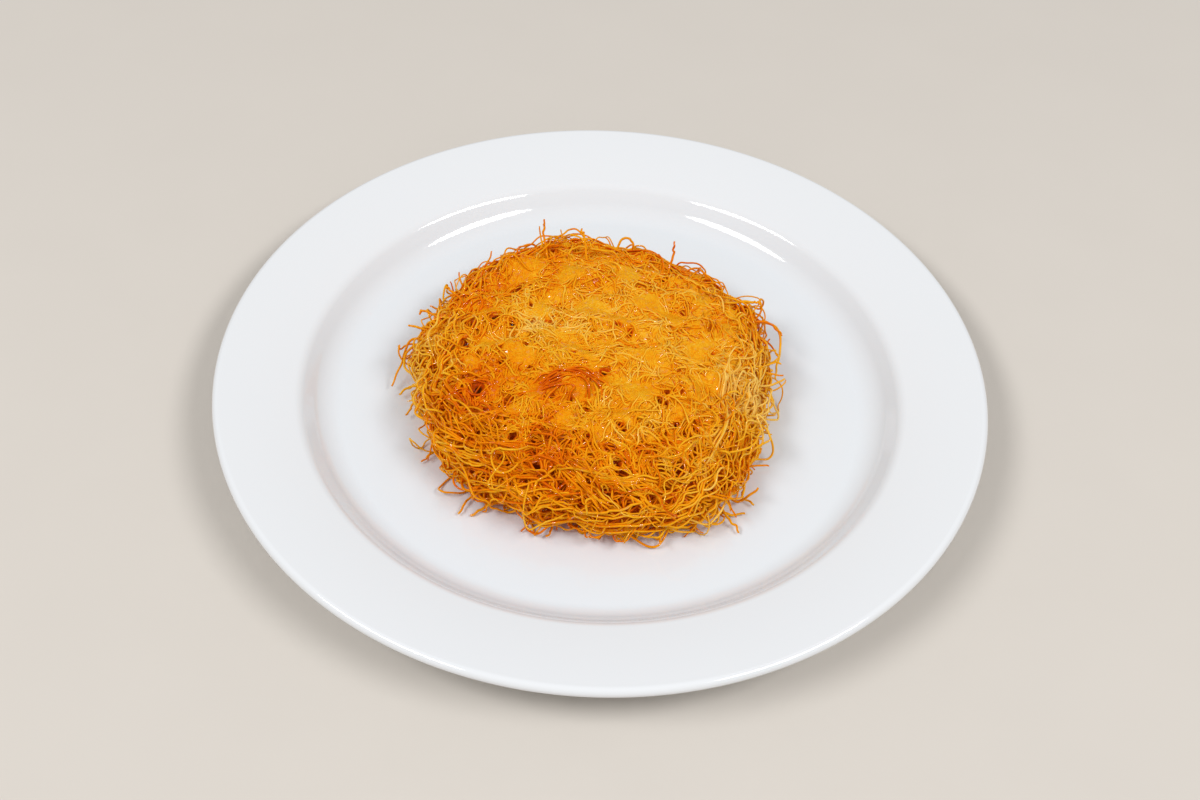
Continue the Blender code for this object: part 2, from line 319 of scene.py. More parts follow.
@dataclass(frozen=True)
class FriedFinish:
    """Crisp fried pastry: golden to red-brown, a little oily, each thread of its own shade."""

    name: str
    shade: float = 0.36
    thread_spread: float = 0.31
    patch_spread: float = 0.42
    patch: float = 7.0 * MM
    speck: float = 1.5 * MM
    relief: float = 0.15 * MM
    roughness: float = 0.32
    roughness_spread: float = 0.35
    # Specks above this level are oily, and the gain is how fast they get so.
    oil_level: float = 0.59
    oil_gain: float = 12.0
    clearness: float = 0.25
    fibre: float = 0.0
    paling: float = 1.0
    # Stands in for the light that comes through the thin threads into the gaps.
    glow: float = 0.075

    def heat(self, recipe: Recipe) -> tuple[Signal, Signal]:
        """How far the pastry is browned, together with the painted shade and light that the pieces and places
        carry.

        Args:
            recipe: The material being made.

        Returns:
            The browning, and the fine specks that it holds.
        """
        point, x, y, _ = recipe.place()
        own = recipe.node("ShaderNodeNewGeometry", output="Random Per Island")
        # The values stored at the vertices: how far each browned, painted shade included.
        made = recipe.node("ShaderNodeAttribute", {"attribute_name": "browning_and_shade"}, output="Fac")
        patches = recipe.noise(point, self.patch)
        specks = recipe.noise(point, self.speck)
        heat = made + self.shade + (own - 0.5) * self.thread_spread
        heat = heat + (patches - 0.5) * self.patch_spread + (specks - 0.5) * (self.patch_spread / 2)
        # The places add how they browned, with their painted shade and light.
        for browning_and_shade in BROWNINGS_AND_SHADES:
            heat = heat + browning_and_shade.at(x, y) * (self.paling if browning_and_shade.amount < 0 else 1.0)
        if self.fibre:
            heat = heat + (self.fibres(recipe, point) - 0.5) * self.fibre
        return heat, specks

    @staticmethod
    def fibres(recipe: Recipe, point: Signal) -> Signal:
        """Curled streaks as fine as a thread."""
        inputs = {"Vector": point, "Scale": 1 / (1.6 * MM), "Detail": 2.0, "Distortion": 2.5}
        return recipe.node("ShaderNodeTexNoise", inputs=inputs)

    def make(self) -> bpy.types.Material:
        """Builds the material.

        Returns:
            The material.
        """
        recipe = Recipe(self.name)
        heat, specks = self.heat(recipe)
        point = recipe.place()[0]
        grain = self.fibres(recipe, point) if self.fibre else recipe.noise(point, self.speck / 3)
        stops = tuple((place / HEAT_SPAN, colour) for place, colour in FRIED)
        share = (heat * (1 / HEAT_SPAN)).clamped()
        colour = recipe.node("ShaderNodeValToRGB", {"stops": stops}, {"Fac": share})
        recipe.set(
            Base_Color=colour,
            Emission_Color=colour,
            Emission_Strength=self.glow,
            Roughness=self.roughness + (specks - 0.5) * self.roughness_spread,
            Specular_IOR_Level=0.06,
            Specular_Tint=(1.0, 0.70, 0.35, 1.0),
            Coat_Weight=((specks - self.oil_level) * self.oil_gain).clamped(),
            Coat_Roughness=0.06,
            Coat_IOR=1.8,
            Subsurface_Weight=self.clearness,
            Subsurface_Radius=(1.0, 0.95, 0.9),
            Subsurface_Scale=0.3 * MM,
            Normal=recipe.bump(grain, self.relief, 0.6),
        )
        return recipe.material


@dataclass(frozen=True)
class GlazeFinish:
    """Smooth white porcelain glaze with the faint unevenness of a fired surface."""

    name: str = "white_glaze"
    rim: tuple = (0.812, 0.832, 0.860)
    # The hollow of the plate is painted a little darker and bluer than the rim: painted shade, which also
    # takes out the reddish light that the nest throws on it.
    shaded_well: tuple = (0.772, 0.814, 0.857)
    well_radius: float = 90.0 * MM
    change: float = 14.0 * MM

    def make(self) -> bpy.types.Material:
        """Builds the material.

        Returns:
            The material.
        """
        recipe = Recipe(self.name)
        point, x, y, _ = recipe.place()
        clouds = recipe.noise(point, 60.0 * MM)
        film = recipe.noise(point, 9.0 * MM)
        out = (x * x + y * y) ** 0.5
        # Painted shade: the colour goes from the shaded hollow to the rim over this span, with a little
        # random clouding.
        on_rim = ((out - self.well_radius) * (1 / self.change)).clamped()
        tone = on_rim * 0.8 + clouds * 0.2
        recipe.set(
            Base_Color=recipe.blend(tone, self.shaded_well, self.rim),
            Roughness=0.05 + film * 0.07,
            Coat_Weight=0.6,
            Coat_Roughness=0.03,
            Normal=recipe.bump(clouds, 0.5 * MM, 0.25),
        )
        return recipe.material


@dataclass(frozen=True)
class FloorFinish:
    """The plain pale floor."""

    name: str = "pale_floor"
    light: tuple = (0.665, 0.623, 0.572)
    shade: tuple = (0.645, 0.603, 0.553)

    def make(self) -> bpy.types.Material:
        """Builds the material.

        Returns:
            The material.
        """
        recipe = Recipe(self.name)
        point, _, _, _ = recipe.place()
        clouds = recipe.noise(point, 40.0 * MM)
        recipe.set(Base_Color=recipe.blend(clouds, self.light, self.shade), Roughness=0.9)
        return recipe.material


def bell(distance: np.ndarray, width: float) -> np.ndarray:
    """1 at no distance, falling smoothly to 0 over a few widths."""
    return np.exp(-((distance / width) ** 2))


def polar(out: np.ndarray, angle: np.ndarray) -> np.ndarray:
    """Points at a distance and an angle from the middle, (..., 2)."""
    return np.stack([out * np.cos(angle), out * np.sin(angle)], -1)


def unit(vectors: np.ndarray) -> np.ndarray:
    """The same directions, each with a length of 1."""
    return vectors / np.maximum(np.linalg.norm(vectors, axis=-1, keepdims=True), 1e-9)


@dataclass(frozen=True)
class NestForm:
    """The nest's outer skin: the solid's cushion, with more of the bulges and notches of its outline.

    The lengths in the rows below are in millimetres.
    """

    x: float = -3.0 * MM
    y: float = -1.5 * MM
    floor: float = 5.8 * MM
    radius: float = 63.5 * MM
    height: float = 27.0 * MM
    edge_height: float = 6.5 * MM
    oval_share: float = 0.035
    oval_angle: float = 118.0
    tuck: float = 0.22
    tuft_seed: int = 3
    tuft_waves: int = 8
    tuft_size: tuple = (10.0 * MM, 22.0 * MM)
    tuft_height: float = 0.46 * MM
    tuft_rest: float = -0.5 * MM
    # Bulges and notches of the outline: angle and half-width in degrees, height.
    lobes: tuple = (
        (28.0, 18.0, 2.5),
        (166.0, 14.0, 0.4),
        (196.0, 16.0, -2.0),
        (231.0, 14.0, 1.0),
        (258.0, 14.0, -3.0),
        (304.0, 15.0, 2.5),
        (354.0, 16.0, -2.5),
        (150.0, 15.0, -2.4),
        (341.0, 11.0, -3.0),
        (71.0, 12.0, -1.2),
        (13.0, 9.0, 0.8),
    )
    # Swells and hollows of the top: x, y, half-width, height.
    swells: tuple = (
        (-10.0, -12.0, 9.0, 2.4),
        (-33.0, -19.0, 9.0, -3.2),
        (-38.0, 4.0, 7.0, -1.6),
        (-14.0, 22.0, 13.0, -1.8),
        (24.0, -16.0, 15.0, 1.6),
        (-24.0, 45.0, 16.0, 1.6),
    )

    def outline(self, angle: np.ndarray) -> np.ndarray:
        """The outer radius towards an angle.

        Args:
            angle: The angle in radians.

        Returns:
            The radius.
        """
        radius = self.radius * (1 + self.oval_share * np.cos(2 * (angle - math.radians(self.oval_angle))))
        for centre, width, height in self.lobes:
            off = (angle - math.radians(centre) + math.pi) % TURN - math.pi
            radius = radius + height * MM * bell(off, math.radians(width))
        return radius

    def section(self, alpha: np.ndarray) -> tuple[np.ndarray, np.ndarray]:
        """The cushion's section.

        Args:
            alpha: 0 at the middle of the top, a quarter turn at the widest place, a half turn underneath.

        Returns:
            The share of the outline radius, and the height above the nest's floor.
        """
        sine = np.clip(np.sin(alpha), 0, 1)
        cosine = np.cos(alpha)
        over = alpha <= math.pi / 2
        share = np.where(over, sine**0.68, 1 - self.tuck * (1 - sine))
        top = self.edge_height + (self.height - self.edge_height) * np.clip(cosine, 0, 1) ** 0.78
        return share, np.where(over, top, self.edge_height * (1 + cosine))

    def table(self) -> tuple[np.ndarray, np.ndarray]:
        """How far the section reaches.

        Returns:
            Lengths along it from the middle of the top, and the alpha that each reaches.
        """
        alpha = np.linspace(0, math.pi, 361)
        share, height = self.section(alpha)
        run = np.hypot(np.diff(share) * self.radius, np.diff(height))
        return np.concatenate([[0.0], np.cumsum(run)]), alpha

    def skin(self, angle: np.ndarray, alpha: np.ndarray) -> np.ndarray:
        """Points on the smooth skin.

        Args:
            angle: The directions from the nest's middle.
            alpha: The places along the section.

        Returns:
            The points.
        """
        share, height = self.section(alpha)
        radius = self.outline(angle) * share
        x = self.x + radius * np.cos(angle)
        y = self.y + radius * np.sin(angle)
        rise = np.zeros_like(x)
        for sx, sy, width, swell in self.swells:
            rise += swell * MM * bell(np.hypot(x - sx * MM, y - sy * MM), width * MM)
        top_share = np.clip(np.cos(alpha), 0, 1) ** 0.5
        return np.stack([x, y, self.floor + height + top_share * rise], -1)

    def tufts(self, points: np.ndarray) -> np.ndarray:
        """The soft unevenness of the skin.

        Args:
            points: Points on the smooth skin.

        Returns:
            How far each is lifted.
        """
        rng = np.random.default_rng(self.tuft_seed)
        rise = np.full(points.shape[:-1], self.tuft_rest)
        for _ in range(self.tuft_waves):
            heading = unit(rng.normal(0, 1, 3))
            reach = rng.uniform(*self.tuft_size)
            rise += self.tuft_height * np.sin(TURN / reach * (points @ heading) + rng.uniform(0, TURN))
        return rise

    def lifted(self, flat: np.ndarray, lift: np.ndarray) -> np.ndarray:
        """Points above the uneven skin.

        Args:
            flat: Places on the skin laid out flat round the middle of the top, (..., 2).
            lift: Heights above the skin along its normal.

        Returns:
            The points, (..., 3).
        """
        length, alphas = self.table()
        angle = np.arctan2(flat[..., 1], flat[..., 0])
        alpha = np.interp(np.hypot(flat[..., 0], flat[..., 1]), length, alphas)
        near = np.maximum(alpha, 0.12)
        step = 0.02
        here = self.skin(angle, near)
        down = self.skin(angle, near + step) - here
        across = self.skin(angle + step, near) - here
        normal = unit(np.cross(down, across))
        skin = self.skin(angle, alpha)
        return skin + normal * (lift + self.tufts(skin))[..., None]


FORM = NestForm()
FLAT_REACH = float(FORM.table()[0][-1])
# Seen from this point under the nest, every part of the skin faces away.
NEST_HEART = np.array([FORM.x, FORM.y, FORM.floor - 25.0 * MM])
# How much darker the side of a thread that faces into the nest is painted than its flanks, as painted shade,
# in the nest and in the free air.
INNER_PAINTED_SHADE = 0.45
FREE_INNER_PAINTED_SHADE = 0.12
# Where a thread gets no painted shade: 1 is its outer side, 0 its flanks and -1 the side that faces into the
# nest; it is painted paler towards its outer side and darker towards the nest.
UNSHADED_FACING = 0.65


@dataclass(frozen=True)
class Pit:
    """A gap between threads: its angle in degrees, its distance on the flat skin and its radius in mm."""

    degrees: float
    out: float
    radius: float

    def centre(self) -> np.ndarray:
        """Its place, in metres."""
        angle = math.radians(self.degrees)
        return np.array([math.cos(angle), math.sin(angle)]) * self.out * MM


# The gaps that show in the photograph: angle in degrees, then millimetres.
SEEN_PITS = tuple(
    Pit(*row)
    for row in (
        (160, 31, 1.1),
        (150, 25, 1.0),
        (144, 20, 1.1),
        (167, 23, 0.8),
        (160, 37, 1.4),
        (166, 44, 1.4),
        (134, 39, 1.2),
        (178, 45, 1.5),
        (179, 50, 1.4),
        (188, 58, 2.0),
        (192, 52, 1.8),
        (64, 35, 1.5),
        (33, 14, 0.8),
        (1, 15, 0.8),
        (20, 27, 0.8),
        (27, 37, 0.8),
        (288, 12, 0.9),
        (14, 60, 1.0),
        (320, 31, 0.8),
        (312, 31, 0.8),
        (312, 40, 0.9),
        (331, 52, 1.1),
        (342, 55, 1.7),
        (311, 45, 1.2),
        (279, 42, 1.0),
        (296, 43, 1.1),
        (292, 46, 1.2),
        (281, 48, 1.4),
        (282, 52, 1.5),
        (301, 53, 1.7),
        (309, 51, 1.2),
        (287, 56, 1.3),
        (271, 56, 2.0),
        (276, 58, 2.1),
        (295, 58, 2.2),
        (294, 62, 2.0),
        (290, 61, 1.5),
        (302, 61, 1.6),
        (278, 64, 2.6),
        (284, 64, 2.2),
        (206, 44, 1.9),
        (216, 45, 2.3),
        (216, 49, 2.2),
        (211, 52, 1.5),
        (203, 59, 1.7),
        (222, 57, 1.4),
        (225, 61, 2.2),
        (233, 61, 1.4),
        (240, 56, 1.8),
        (238, 47, 1.3),
        (248, 51, 1.6),
        (247, 46, 2.0),
        (251, 43, 1.0),
        (262, 40, 0.8),
        (269, 40, 0.8),
        (255, 27, 0.7),
        (268, 29, 0.9),
        (252, 55, 1.7),
        (258, 56, 2.5),
        (261, 60, 2.6),
        (255, 65, 2.0),
        (263, 66, 2.4),
        (258, 70, 2.0),
        (268, 65, 1.2),
        (250, 62, 1.5),
        (243, 72, 1.6),
        (240, 71, 1.5),
    )
)


# Threads bridge the rims of the gaps, so they are laid a little wider than they show.
PIT_GROWTH = 1.25
# The largest radius that a gap is laid with, in millimetres.
PIT_LIMIT = 2.0
# The small gaps: how far out they lie, and their radii in millimetres.
SMALL_PIT_REACH = 56.0 * MM
SMALL_PIT_RADII = (0.65, 1.05)


def pits(rng: np.random.Generator, small: int) -> tuple[np.ndarray, np.ndarray, np.ndarray]:
    """The gaps that threads keep out of.

    Args:
        rng: The source of chance.
        small: How many small gaps are added over the top by chance.

    Returns:
        Their centres on the flat skin, their radii, and the direction that each is long in.
    """
    angle = rng.uniform(0, TURN, small)
    out = SMALL_PIT_REACH * np.sqrt(rng.uniform(0, 1, small))
    centres = np.concatenate(
        [
            np.array([pit.centre() for pit in SEEN_PITS]),
            polar(out, angle),
        ]
    )
    seen = [min(pit.radius * PIT_GROWTH, PIT_LIMIT) * MM for pit in SEEN_PITS]
    radii = np.concatenate([seen, rng.uniform(*SMALL_PIT_RADII, small) * MM])
    turn = rng.uniform(0, TURN, len(radii))
    return centres, radii, np.stack([np.cos(turn), np.sin(turn)], -1)


SMALL_PITS = 80
PIT_STRETCH = 1.5
PIT_CENTRES, PIT_RADII, PIT_WAYS = pits(np.random.default_rng(7), SMALL_PITS)


def squeezed(away: np.ndarray, way: np.ndarray) -> np.ndarray:
    """Shortens vectors along a gap's long direction, so that the gap becomes round.

    Args:
        away: Vectors from the gap's centre, (..., 2).
        way: The direction that it is long in.

    Returns:
        The shortened vectors.
    """
    return away - way * ((away @ way) * (1 - 1 / PIT_STRETCH))[..., None]


def keep_out(flat: np.ndarray, share: float) -> np.ndarray:
    """Pushes points of the flat skin out of the gaps.

    Args:
        flat: The points, (..., 2).
        share: How much of each gap's size counts.

    Returns:
        The moved points.
    """
    moved = flat.copy()
    for centre, radius, way in zip(PIT_CENTRES, PIT_RADII * share, PIT_WAYS):
        away = squeezed(flat - centre, way)
        distance = np.maximum(np.linalg.norm(away, axis=-1), 1e-6)
        push = (np.hypot(distance, radius) - distance) * bell(distance, 2.6 * radius)
        moved += away / distance[..., None] * push[..., None]
    return moved


def crossing(flat: np.ndarray) -> np.ndarray:
    """How far a thread's points belong to a stretch that runs right over a gap.

    Args:
        flat: The threads' points on the flat skin, (threads, points, 2).

    Returns:
        A share from 0 to 1 at each point, (threads, points).
    """
    middle = (flat[:, 1:] + flat[:, :-1]) / 2
    over = np.zeros(middle.shape[:-1])
    for centre, radius, way in zip(PIT_CENTRES, PIT_RADII, PIT_WAYS):
        distance = np.linalg.norm(squeezed(middle - centre, way), axis=-1)
        over = np.maximum(over, np.clip(1.6 * (1.1 - distance / radius), 0, 1))
    first, last = over[:, :1], over[:, -1:]
    return np.concatenate([first, np.maximum(over[:, 1:], over[:, :-1]), last], axis=1)


def ripple(flat: np.ndarray, size: float, seed: int) -> np.ndarray:
    """Smooth patches over the flat skin.

    Args:
        flat: Places on it, (..., 2).
        size: How far apart the patches are.
        seed: The source of chance.

    Returns:
        A value at each place, mostly between -1 and 1.
    """
    rng = np.random.default_rng(seed)
    total = np.zeros(flat.shape[:-1])
    for _ in range(7):
        angle, phase = rng.uniform(0, TURN, 2)
        reach = size * rng.uniform(0.7, 1.5)
        run = flat[..., 0] * math.cos(angle) + flat[..., 1] * math.sin(angle)
        total += np.sin(TURN / reach * run + phase)
    return total / 2.2


class Lay(Enum):
    """How a thread runs over the cushion."""

    CROSSED = "straight on"
    WOUND = "round the nest"
    FALLING = "down from the top, then round the foot"


def tube_mesh(
    name: str,
    paths: np.ndarray,
    radii: np.ndarray,
    browning_and_shade: np.ndarray,
    sides: int,
    inner_shade: float,
) -> bpy.types.Object:
    """Closed round threads along many paths, as one mesh.

    Args:
        name: The object's name.
        paths: Points, (threads, points, 3).
        radii: The radius at each point, (threads, points).
        browning_and_shade: How much browner each point is, painted shade included, (threads, points).
        sides: How many sides a thread has.
        inner_shade: How much painted shade darkens a thread on the side that faces the nest's heart, and
            lightens it on the side that faces out.

    Returns:
        The object.
    """
    count, length, _ = paths.shape
    steps = unit(np.diff(paths, axis=1))
    tangents = unit(np.concatenate([steps[:, :1], steps[:, :-1] + steps[:, 1:], steps[:, -1:]], axis=1))
    side = np.cross(tangents[:, 0], [0.31, 0.17, 0.93])
    turn = TURN * np.arange(sides) / sides
    rings = []
    for k in range(length):
        tangent = tangents[:, k]
        side = unit(side - tangent * (side * tangent).sum(-1, keepdims=True))
        other = np.cross(tangent, side)
        ring = side[:, None] * np.cos(turn)[:, None] + other[:, None] * np.sin(turn)[:, None]
        rings.append(paths[:, k, None] + ring * radii[:, k, None, None])
    points = np.stack(rings, axis=1)
    outward = unit(paths - NEST_HEART)
    facing = ((points - paths[:, :, None]) * outward[:, :, None]).sum(-1) / radii[..., None]
    # Painted shade: the side of each thread that faces into the nest is painted darker, the side that faces
    # out paler.
    shade = browning_and_shade[..., None] + inner_shade * (UNSHADED_FACING - facing)
    first = (np.arange(count) * length * sides)[:, None, None]
    ring = first + (np.arange(length - 1) * sides)[:, None]
    a = ring + np.arange(sides)
    b = ring + (np.arange(sides) + 1) % sides
    quads = np.stack([a, b, b + sides, a + sides], -1).reshape(-1, 4)
    start_caps = first[:, 0] + np.arange(sides)[::-1]
    end_caps = first[:, 0] + (length - 1) * sides + np.arange(sides)
    loops = np.concatenate([quads.ravel(), start_caps.ravel(), end_caps.ravel()])
    starts = np.concatenate(
        [np.arange(len(quads)) * 4, len(quads) * 4 + np.arange(2 * count) * sides],
    )
    obj = mesh_object(name, points.reshape(-1, 3), loops, starts)
    store_browning_and_shade(obj, shade)
    return obj


def store_browning_and_shade(obj: bpy.types.Object, shade: np.ndarray) -> None:
    """Writes down how much browner each vertex of a piece is, painted shade included, for its finish to read.

    Args:
        obj: The piece.
        shade: The amounts, in the order of the vertices.
    """
    shades = obj.data.attributes.new("browning_and_shade", "FLOAT", "POINT")
    shades.data.foreach_set("value", shade.astype(np.float32).ravel())


def mesh_object(name: str, points: np.ndarray, loops: np.ndarray, starts: np.ndarray) -> bpy.types.Object:
    """A smooth mesh object from arrays.

    Args:
        name: The object's name.
        points: The vertices, (n, 3).
        loops: The vertex of each face corner.
        starts: The first corner of each face.

    Returns:
        The object.
    """
    mesh = bpy.data.meshes.new(name)
    mesh.vertices.add(len(points))
    mesh.vertices.foreach_set("co", points.astype(np.float32).ravel())
    mesh.loops.add(len(loops))
    mesh.loops.foreach_set("vertex_index", loops.astype(np.int32))
    mesh.polygons.add(len(starts))
    mesh.polygons.foreach_set("loop_start", starts.astype(np.int32))
    mesh.update(calc_edges=True)
    mesh.shade_smooth()
    obj = bpy.data.objects.new(name, mesh)
    bpy.context.scene.collection.objects.link(obj)
    return obj


def attach(obj: bpy.types.Object, material: bpy.types.Material, node: str) -> None:
    """Dresses a piece, ties it to the body and hides the solid that it stands for.

    Args:
        obj: The piece.
        material: Its finish.
        node: The solid that it replaces.
    """
    obj.data.materials.append(material)
    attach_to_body(obj, BODY)
    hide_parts(node)
    triangles = sum(len(face.vertices) - 2 for face in obj.data.polygons)
    LOG.info("%s: %d triangles", obj.name, triangles)


def lay_threads(
    name: str,
    material: bpy.types.Material,
    paths: np.ndarray,
    radii: np.ndarray,
    browning_and_shade: np.ndarray,
    sides: int,
    inner_shade: float = INNER_PAINTED_SHADE,
) -> bpy.types.Object:
    """Makes one layer of the nest's threads as a piece, and keeps it off the plate.

    Args:
        name: The piece's name.
        material: Its finish.
        paths: Points, (threads, points, 3).
        radii: The radius at each point, (threads, points).
        browning_and_shade: How much browner each point is, painted shade included, (threads, points).
        sides: How many sides a thread has.
        inner_shade: How much painted shade darkens a thread on the side that faces the nest's heart, and
            lightens it on the side that faces out.

    Returns:
        The piece.
    """
    paths[..., 2] = np.maximum(paths[..., 2], FORM.floor + radii)
    obj = tube_mesh(name, paths, radii, browning_and_shade, sides, inner_shade)
    attach(obj, material, NEST_NODE)
    return obj


# The patches where the threads of the top are sunk in the felt.
PATCH_SIZE = 14.0 * MM
PATCH_SEED = 2


@dataclass(frozen=True)
class WovenThreads:
    """Threads that run over the cushion at some depth, in bunches that bend alike."""

    name: str
    seed: int
    bunches: int
    in_bunch: int
    length: float
    reach: tuple[float, float]
    depth: tuple[float, float]
    lay: Lay
    radius: float = 0.42 * MM
    step: float = 1.5 * MM
    bunch_width: float = 1.6 * MM
    heading_spread: float = 0.5
    own_spread: float = 0.15
    bend: float = 0.16
    crimp: float = 0.4
    weave: float = 0.5 * MM
    scatter: float = 0.3 * MM
    sinking: float = 0.0
    dip: float = 1.1 * MM
    browning_and_shade: float = 0.0
    # Painted shade: how much darker a thread is painted the deeper it lies.
    painted_depth_shade: float = 0.25
    pit_share: float = 1.0
    sides: int = 5
    # The lengths of a thread's sideways waves, and of its waves up and down, in millimetres.
    crimp_waves: tuple[float, float] = (5.0, 10.0)
    weave_waves: tuple[float, float] = (7.0, 16.0)
    # How much of a turn lasts into the next step, and how much comes from the bunch and the thread.
    turn_kept: float = 0.75
    turn_shared: float = 0.8
    turn_own: float = 0.3
    # Where a falling thread starts to bend round the foot, over what span, and how strongly.
    foot_start: float = 58.0 * MM
    foot_span: float = 26.0 * MM
    foot_pull: float = 0.14
    # How deep in millimetres a thread's ends dive, and how much browner and thinner they are.
    end_dive: float = 1.6
    end_browning: float = 0.08
    end_taper: float = 0.3
    unevenness: float = 0.12
    # The depth at which a thread's painted shade for lying deep is whole.
    deep: float = 3.0 * MM

    def headings(self, rng: np.random.Generator) -> np.ndarray:
        """The angle at which each thread sets out, from straight outwards.

        Args:
            rng: The source of chance.

        Returns:
            The angles in radians.
        """
        if self.lay is Lay.CROSSED:
            bunch = rng.uniform(0, TURN, self.bunches)
        elif self.lay is Lay.WOUND:
            bunch = math.pi / 2 + rng.normal(0, self.heading_spread, self.bunches)
        else:
            bunch = rng.normal(0, self.heading_spread, self.bunches)
        own = rng.normal(0, self.own_spread, self.bunches * self.in_bunch)
        return np.repeat(bunch, self.in_bunch) + own

    def flat_paths(self, rng: np.random.Generator) -> np.ndarray:
        """Walks every thread over the flat skin.

        Args:
            rng: The source of chance.

        Returns:
            The points, (threads, points, 2).
        """
        count = self.bunches * self.in_bunch
        near, far = self.reach
        share = (np.arange(self.bunches) + 0.5) / self.bunches
        out = np.sqrt(near**2 + (far**2 - near**2) * share)
        angle = GOLDEN_ANGLE * np.arange(self.bunches) + rng.normal(0, 0.12, self.bunches)
        middle = polar(out, angle)
        spot = np.repeat(middle, self.in_bunch, 0) + rng.normal(0, self.bunch_width, (count, 2))
        heading = self.headings(rng)
        wave = np.repeat(rng.uniform(*self.crimp_waves, self.bunches), self.in_bunch)
        wave = wave * rng.uniform(0.9, 1.1, count) * MM
        phase = np.repeat(rng.uniform(0, TURN, self.bunches), self.in_bunch) + rng.normal(0, 0.8, count)
        crimp = self.crimp * rng.uniform(0.3, 1.4, count)
        pace = self.step * rng.uniform(0.6, 1.2, count)
        length, alphas = FORM.table()
        turn = np.zeros(count)
        path = [spot]
        for k in range(round(self.length / self.step)):
            out = np.maximum(np.linalg.norm(spot, axis=-1), 1e-5)
            outward = spot / out[:, None]
            sideways = np.stack([-outward[:, 1], outward[:, 0]], -1)
            share, _ = FORM.section(np.interp(out, length, alphas))
            stretch = np.clip(out / np.maximum(share * FORM.radius, 1e-5), 1.0, 2.0)
            leaving = (out > 0.95 * FLAT_REACH) & (np.cos(heading) > 0)
            heading = np.where(leaving, math.pi - heading, heading)
            course = heading + crimp * np.sin(TURN * k * self.step / wave + phase)
            move = outward * np.cos(course)[:, None] + sideways * (np.sin(course) * stretch)[:, None]
            ahead = spot + move * pace[:, None]
            swing = np.arctan2(
                spot[:, 0] * ahead[:, 1] - spot[:, 1] * ahead[:, 0],
                (spot * ahead).sum(-1),
            )
            shared = np.repeat(rng.normal(0, self.bend, self.bunches), self.in_bunch)
            own = rng.normal(0, self.bend, count)
            turn = self.turn_kept * turn + self.turn_shared * shared + self.turn_own * own
            heading = heading + turn
            if self.lay is Lay.CROSSED:
                heading = heading - swing
            elif self.lay is Lay.FALLING:
                foot = np.clip((out - self.foot_start) / self.foot_span, 0, 1)
                heading = heading + self.foot_pull * foot * (np.sign(heading) * math.pi / 2 - heading)
            spot = ahead
            path.append(spot)
        return np.stack(path, 1)

    def build(self, material: bpy.types.Material) -> bpy.types.Object:
        """Makes the threads as one piece.

        Args:
            material: Their finish.

        Returns:
            The piece.
        """
        rng = np.random.default_rng(self.seed)
        flat = keep_out(self.flat_paths(rng), self.pit_share)
        count, length, _ = flat.shape
        along = np.linspace(0, 1, length)
        ends = np.clip(1 - 5 * np.minimum(along, 1 - along), 0, 1)
        depth = np.repeat(rng.uniform(*self.depth, self.bunches), self.in_bunch)
        depth = depth + rng.normal(0, self.scatter, count)
        wave = rng.uniform(*self.weave_waves, count)[:, None] * MM
        run = np.arange(length)[None] * self.step
        lift = depth[:, None] + self.weave * np.sin(TURN * run / wave + rng.uniform(0, TURN, count)[:, None])
        lift = lift - ends * rng.uniform(0.0, self.end_dive, count)[:, None] * MM
        lift = lift - self.sinking * np.clip(ripple(flat, PATCH_SIZE, PATCH_SEED), 0, 1)
        lift = lift - self.dip * crossing(flat)
        paths = FORM.lifted(flat, lift)
        phase = rng.uniform(0, TURN, count)[:, None]
        uneven = 1 + self.unevenness * np.sin(TURN * run / (1.7 * wave) + phase)
        taper = 1 - self.end_taper * ends**2
        radius = self.radius * rng.uniform(0.75, 1.2, count)[:, None] * uneven * taper
        browning_and_shade = self.browning_and_shade + self.end_browning * ends**2
        # Painted shade: threads that lie deeper are painted darker.
        browning_and_shade = browning_and_shade + self.painted_depth_shade * np.clip(-lift / self.deep, 0, 1)
        return lay_threads(self.name, material, paths, radius, browning_and_shade, self.sides)


def through(marks: np.ndarray, points: int) -> np.ndarray:
    """A smooth curve through marks.

    Args:
        marks: The marks, (n, dimensions).
        points: How many points the curve has.

    Returns:
        The curve's points, (points, dimensions).
    """
    spans = len(marks) - 1
    marks = np.concatenate([[2 * marks[0] - marks[1]], marks, [2 * marks[-1] - marks[-2]]])
    place = np.linspace(0, spans - 1e-9, points)
    index = place.astype(int)
    t = (place - index)[:, None]
    a, b, c, d = (marks[index + k] for k in range(4))
    return 0.5 * (2 * b + (c - a) * t + (2 * a - 5 * b + 4 * c - d) * t**2 + (3 * b - a - 3 * c + d) * t**3)


@dataclass(frozen=True)
class Bundle:
    """Threads that run side by side: the route in degrees and flat millimetres, and how many."""

    route: tuple
    threads: int
    width: float
    browning_and_shade: float = 0.0
    lift: float = 0.2


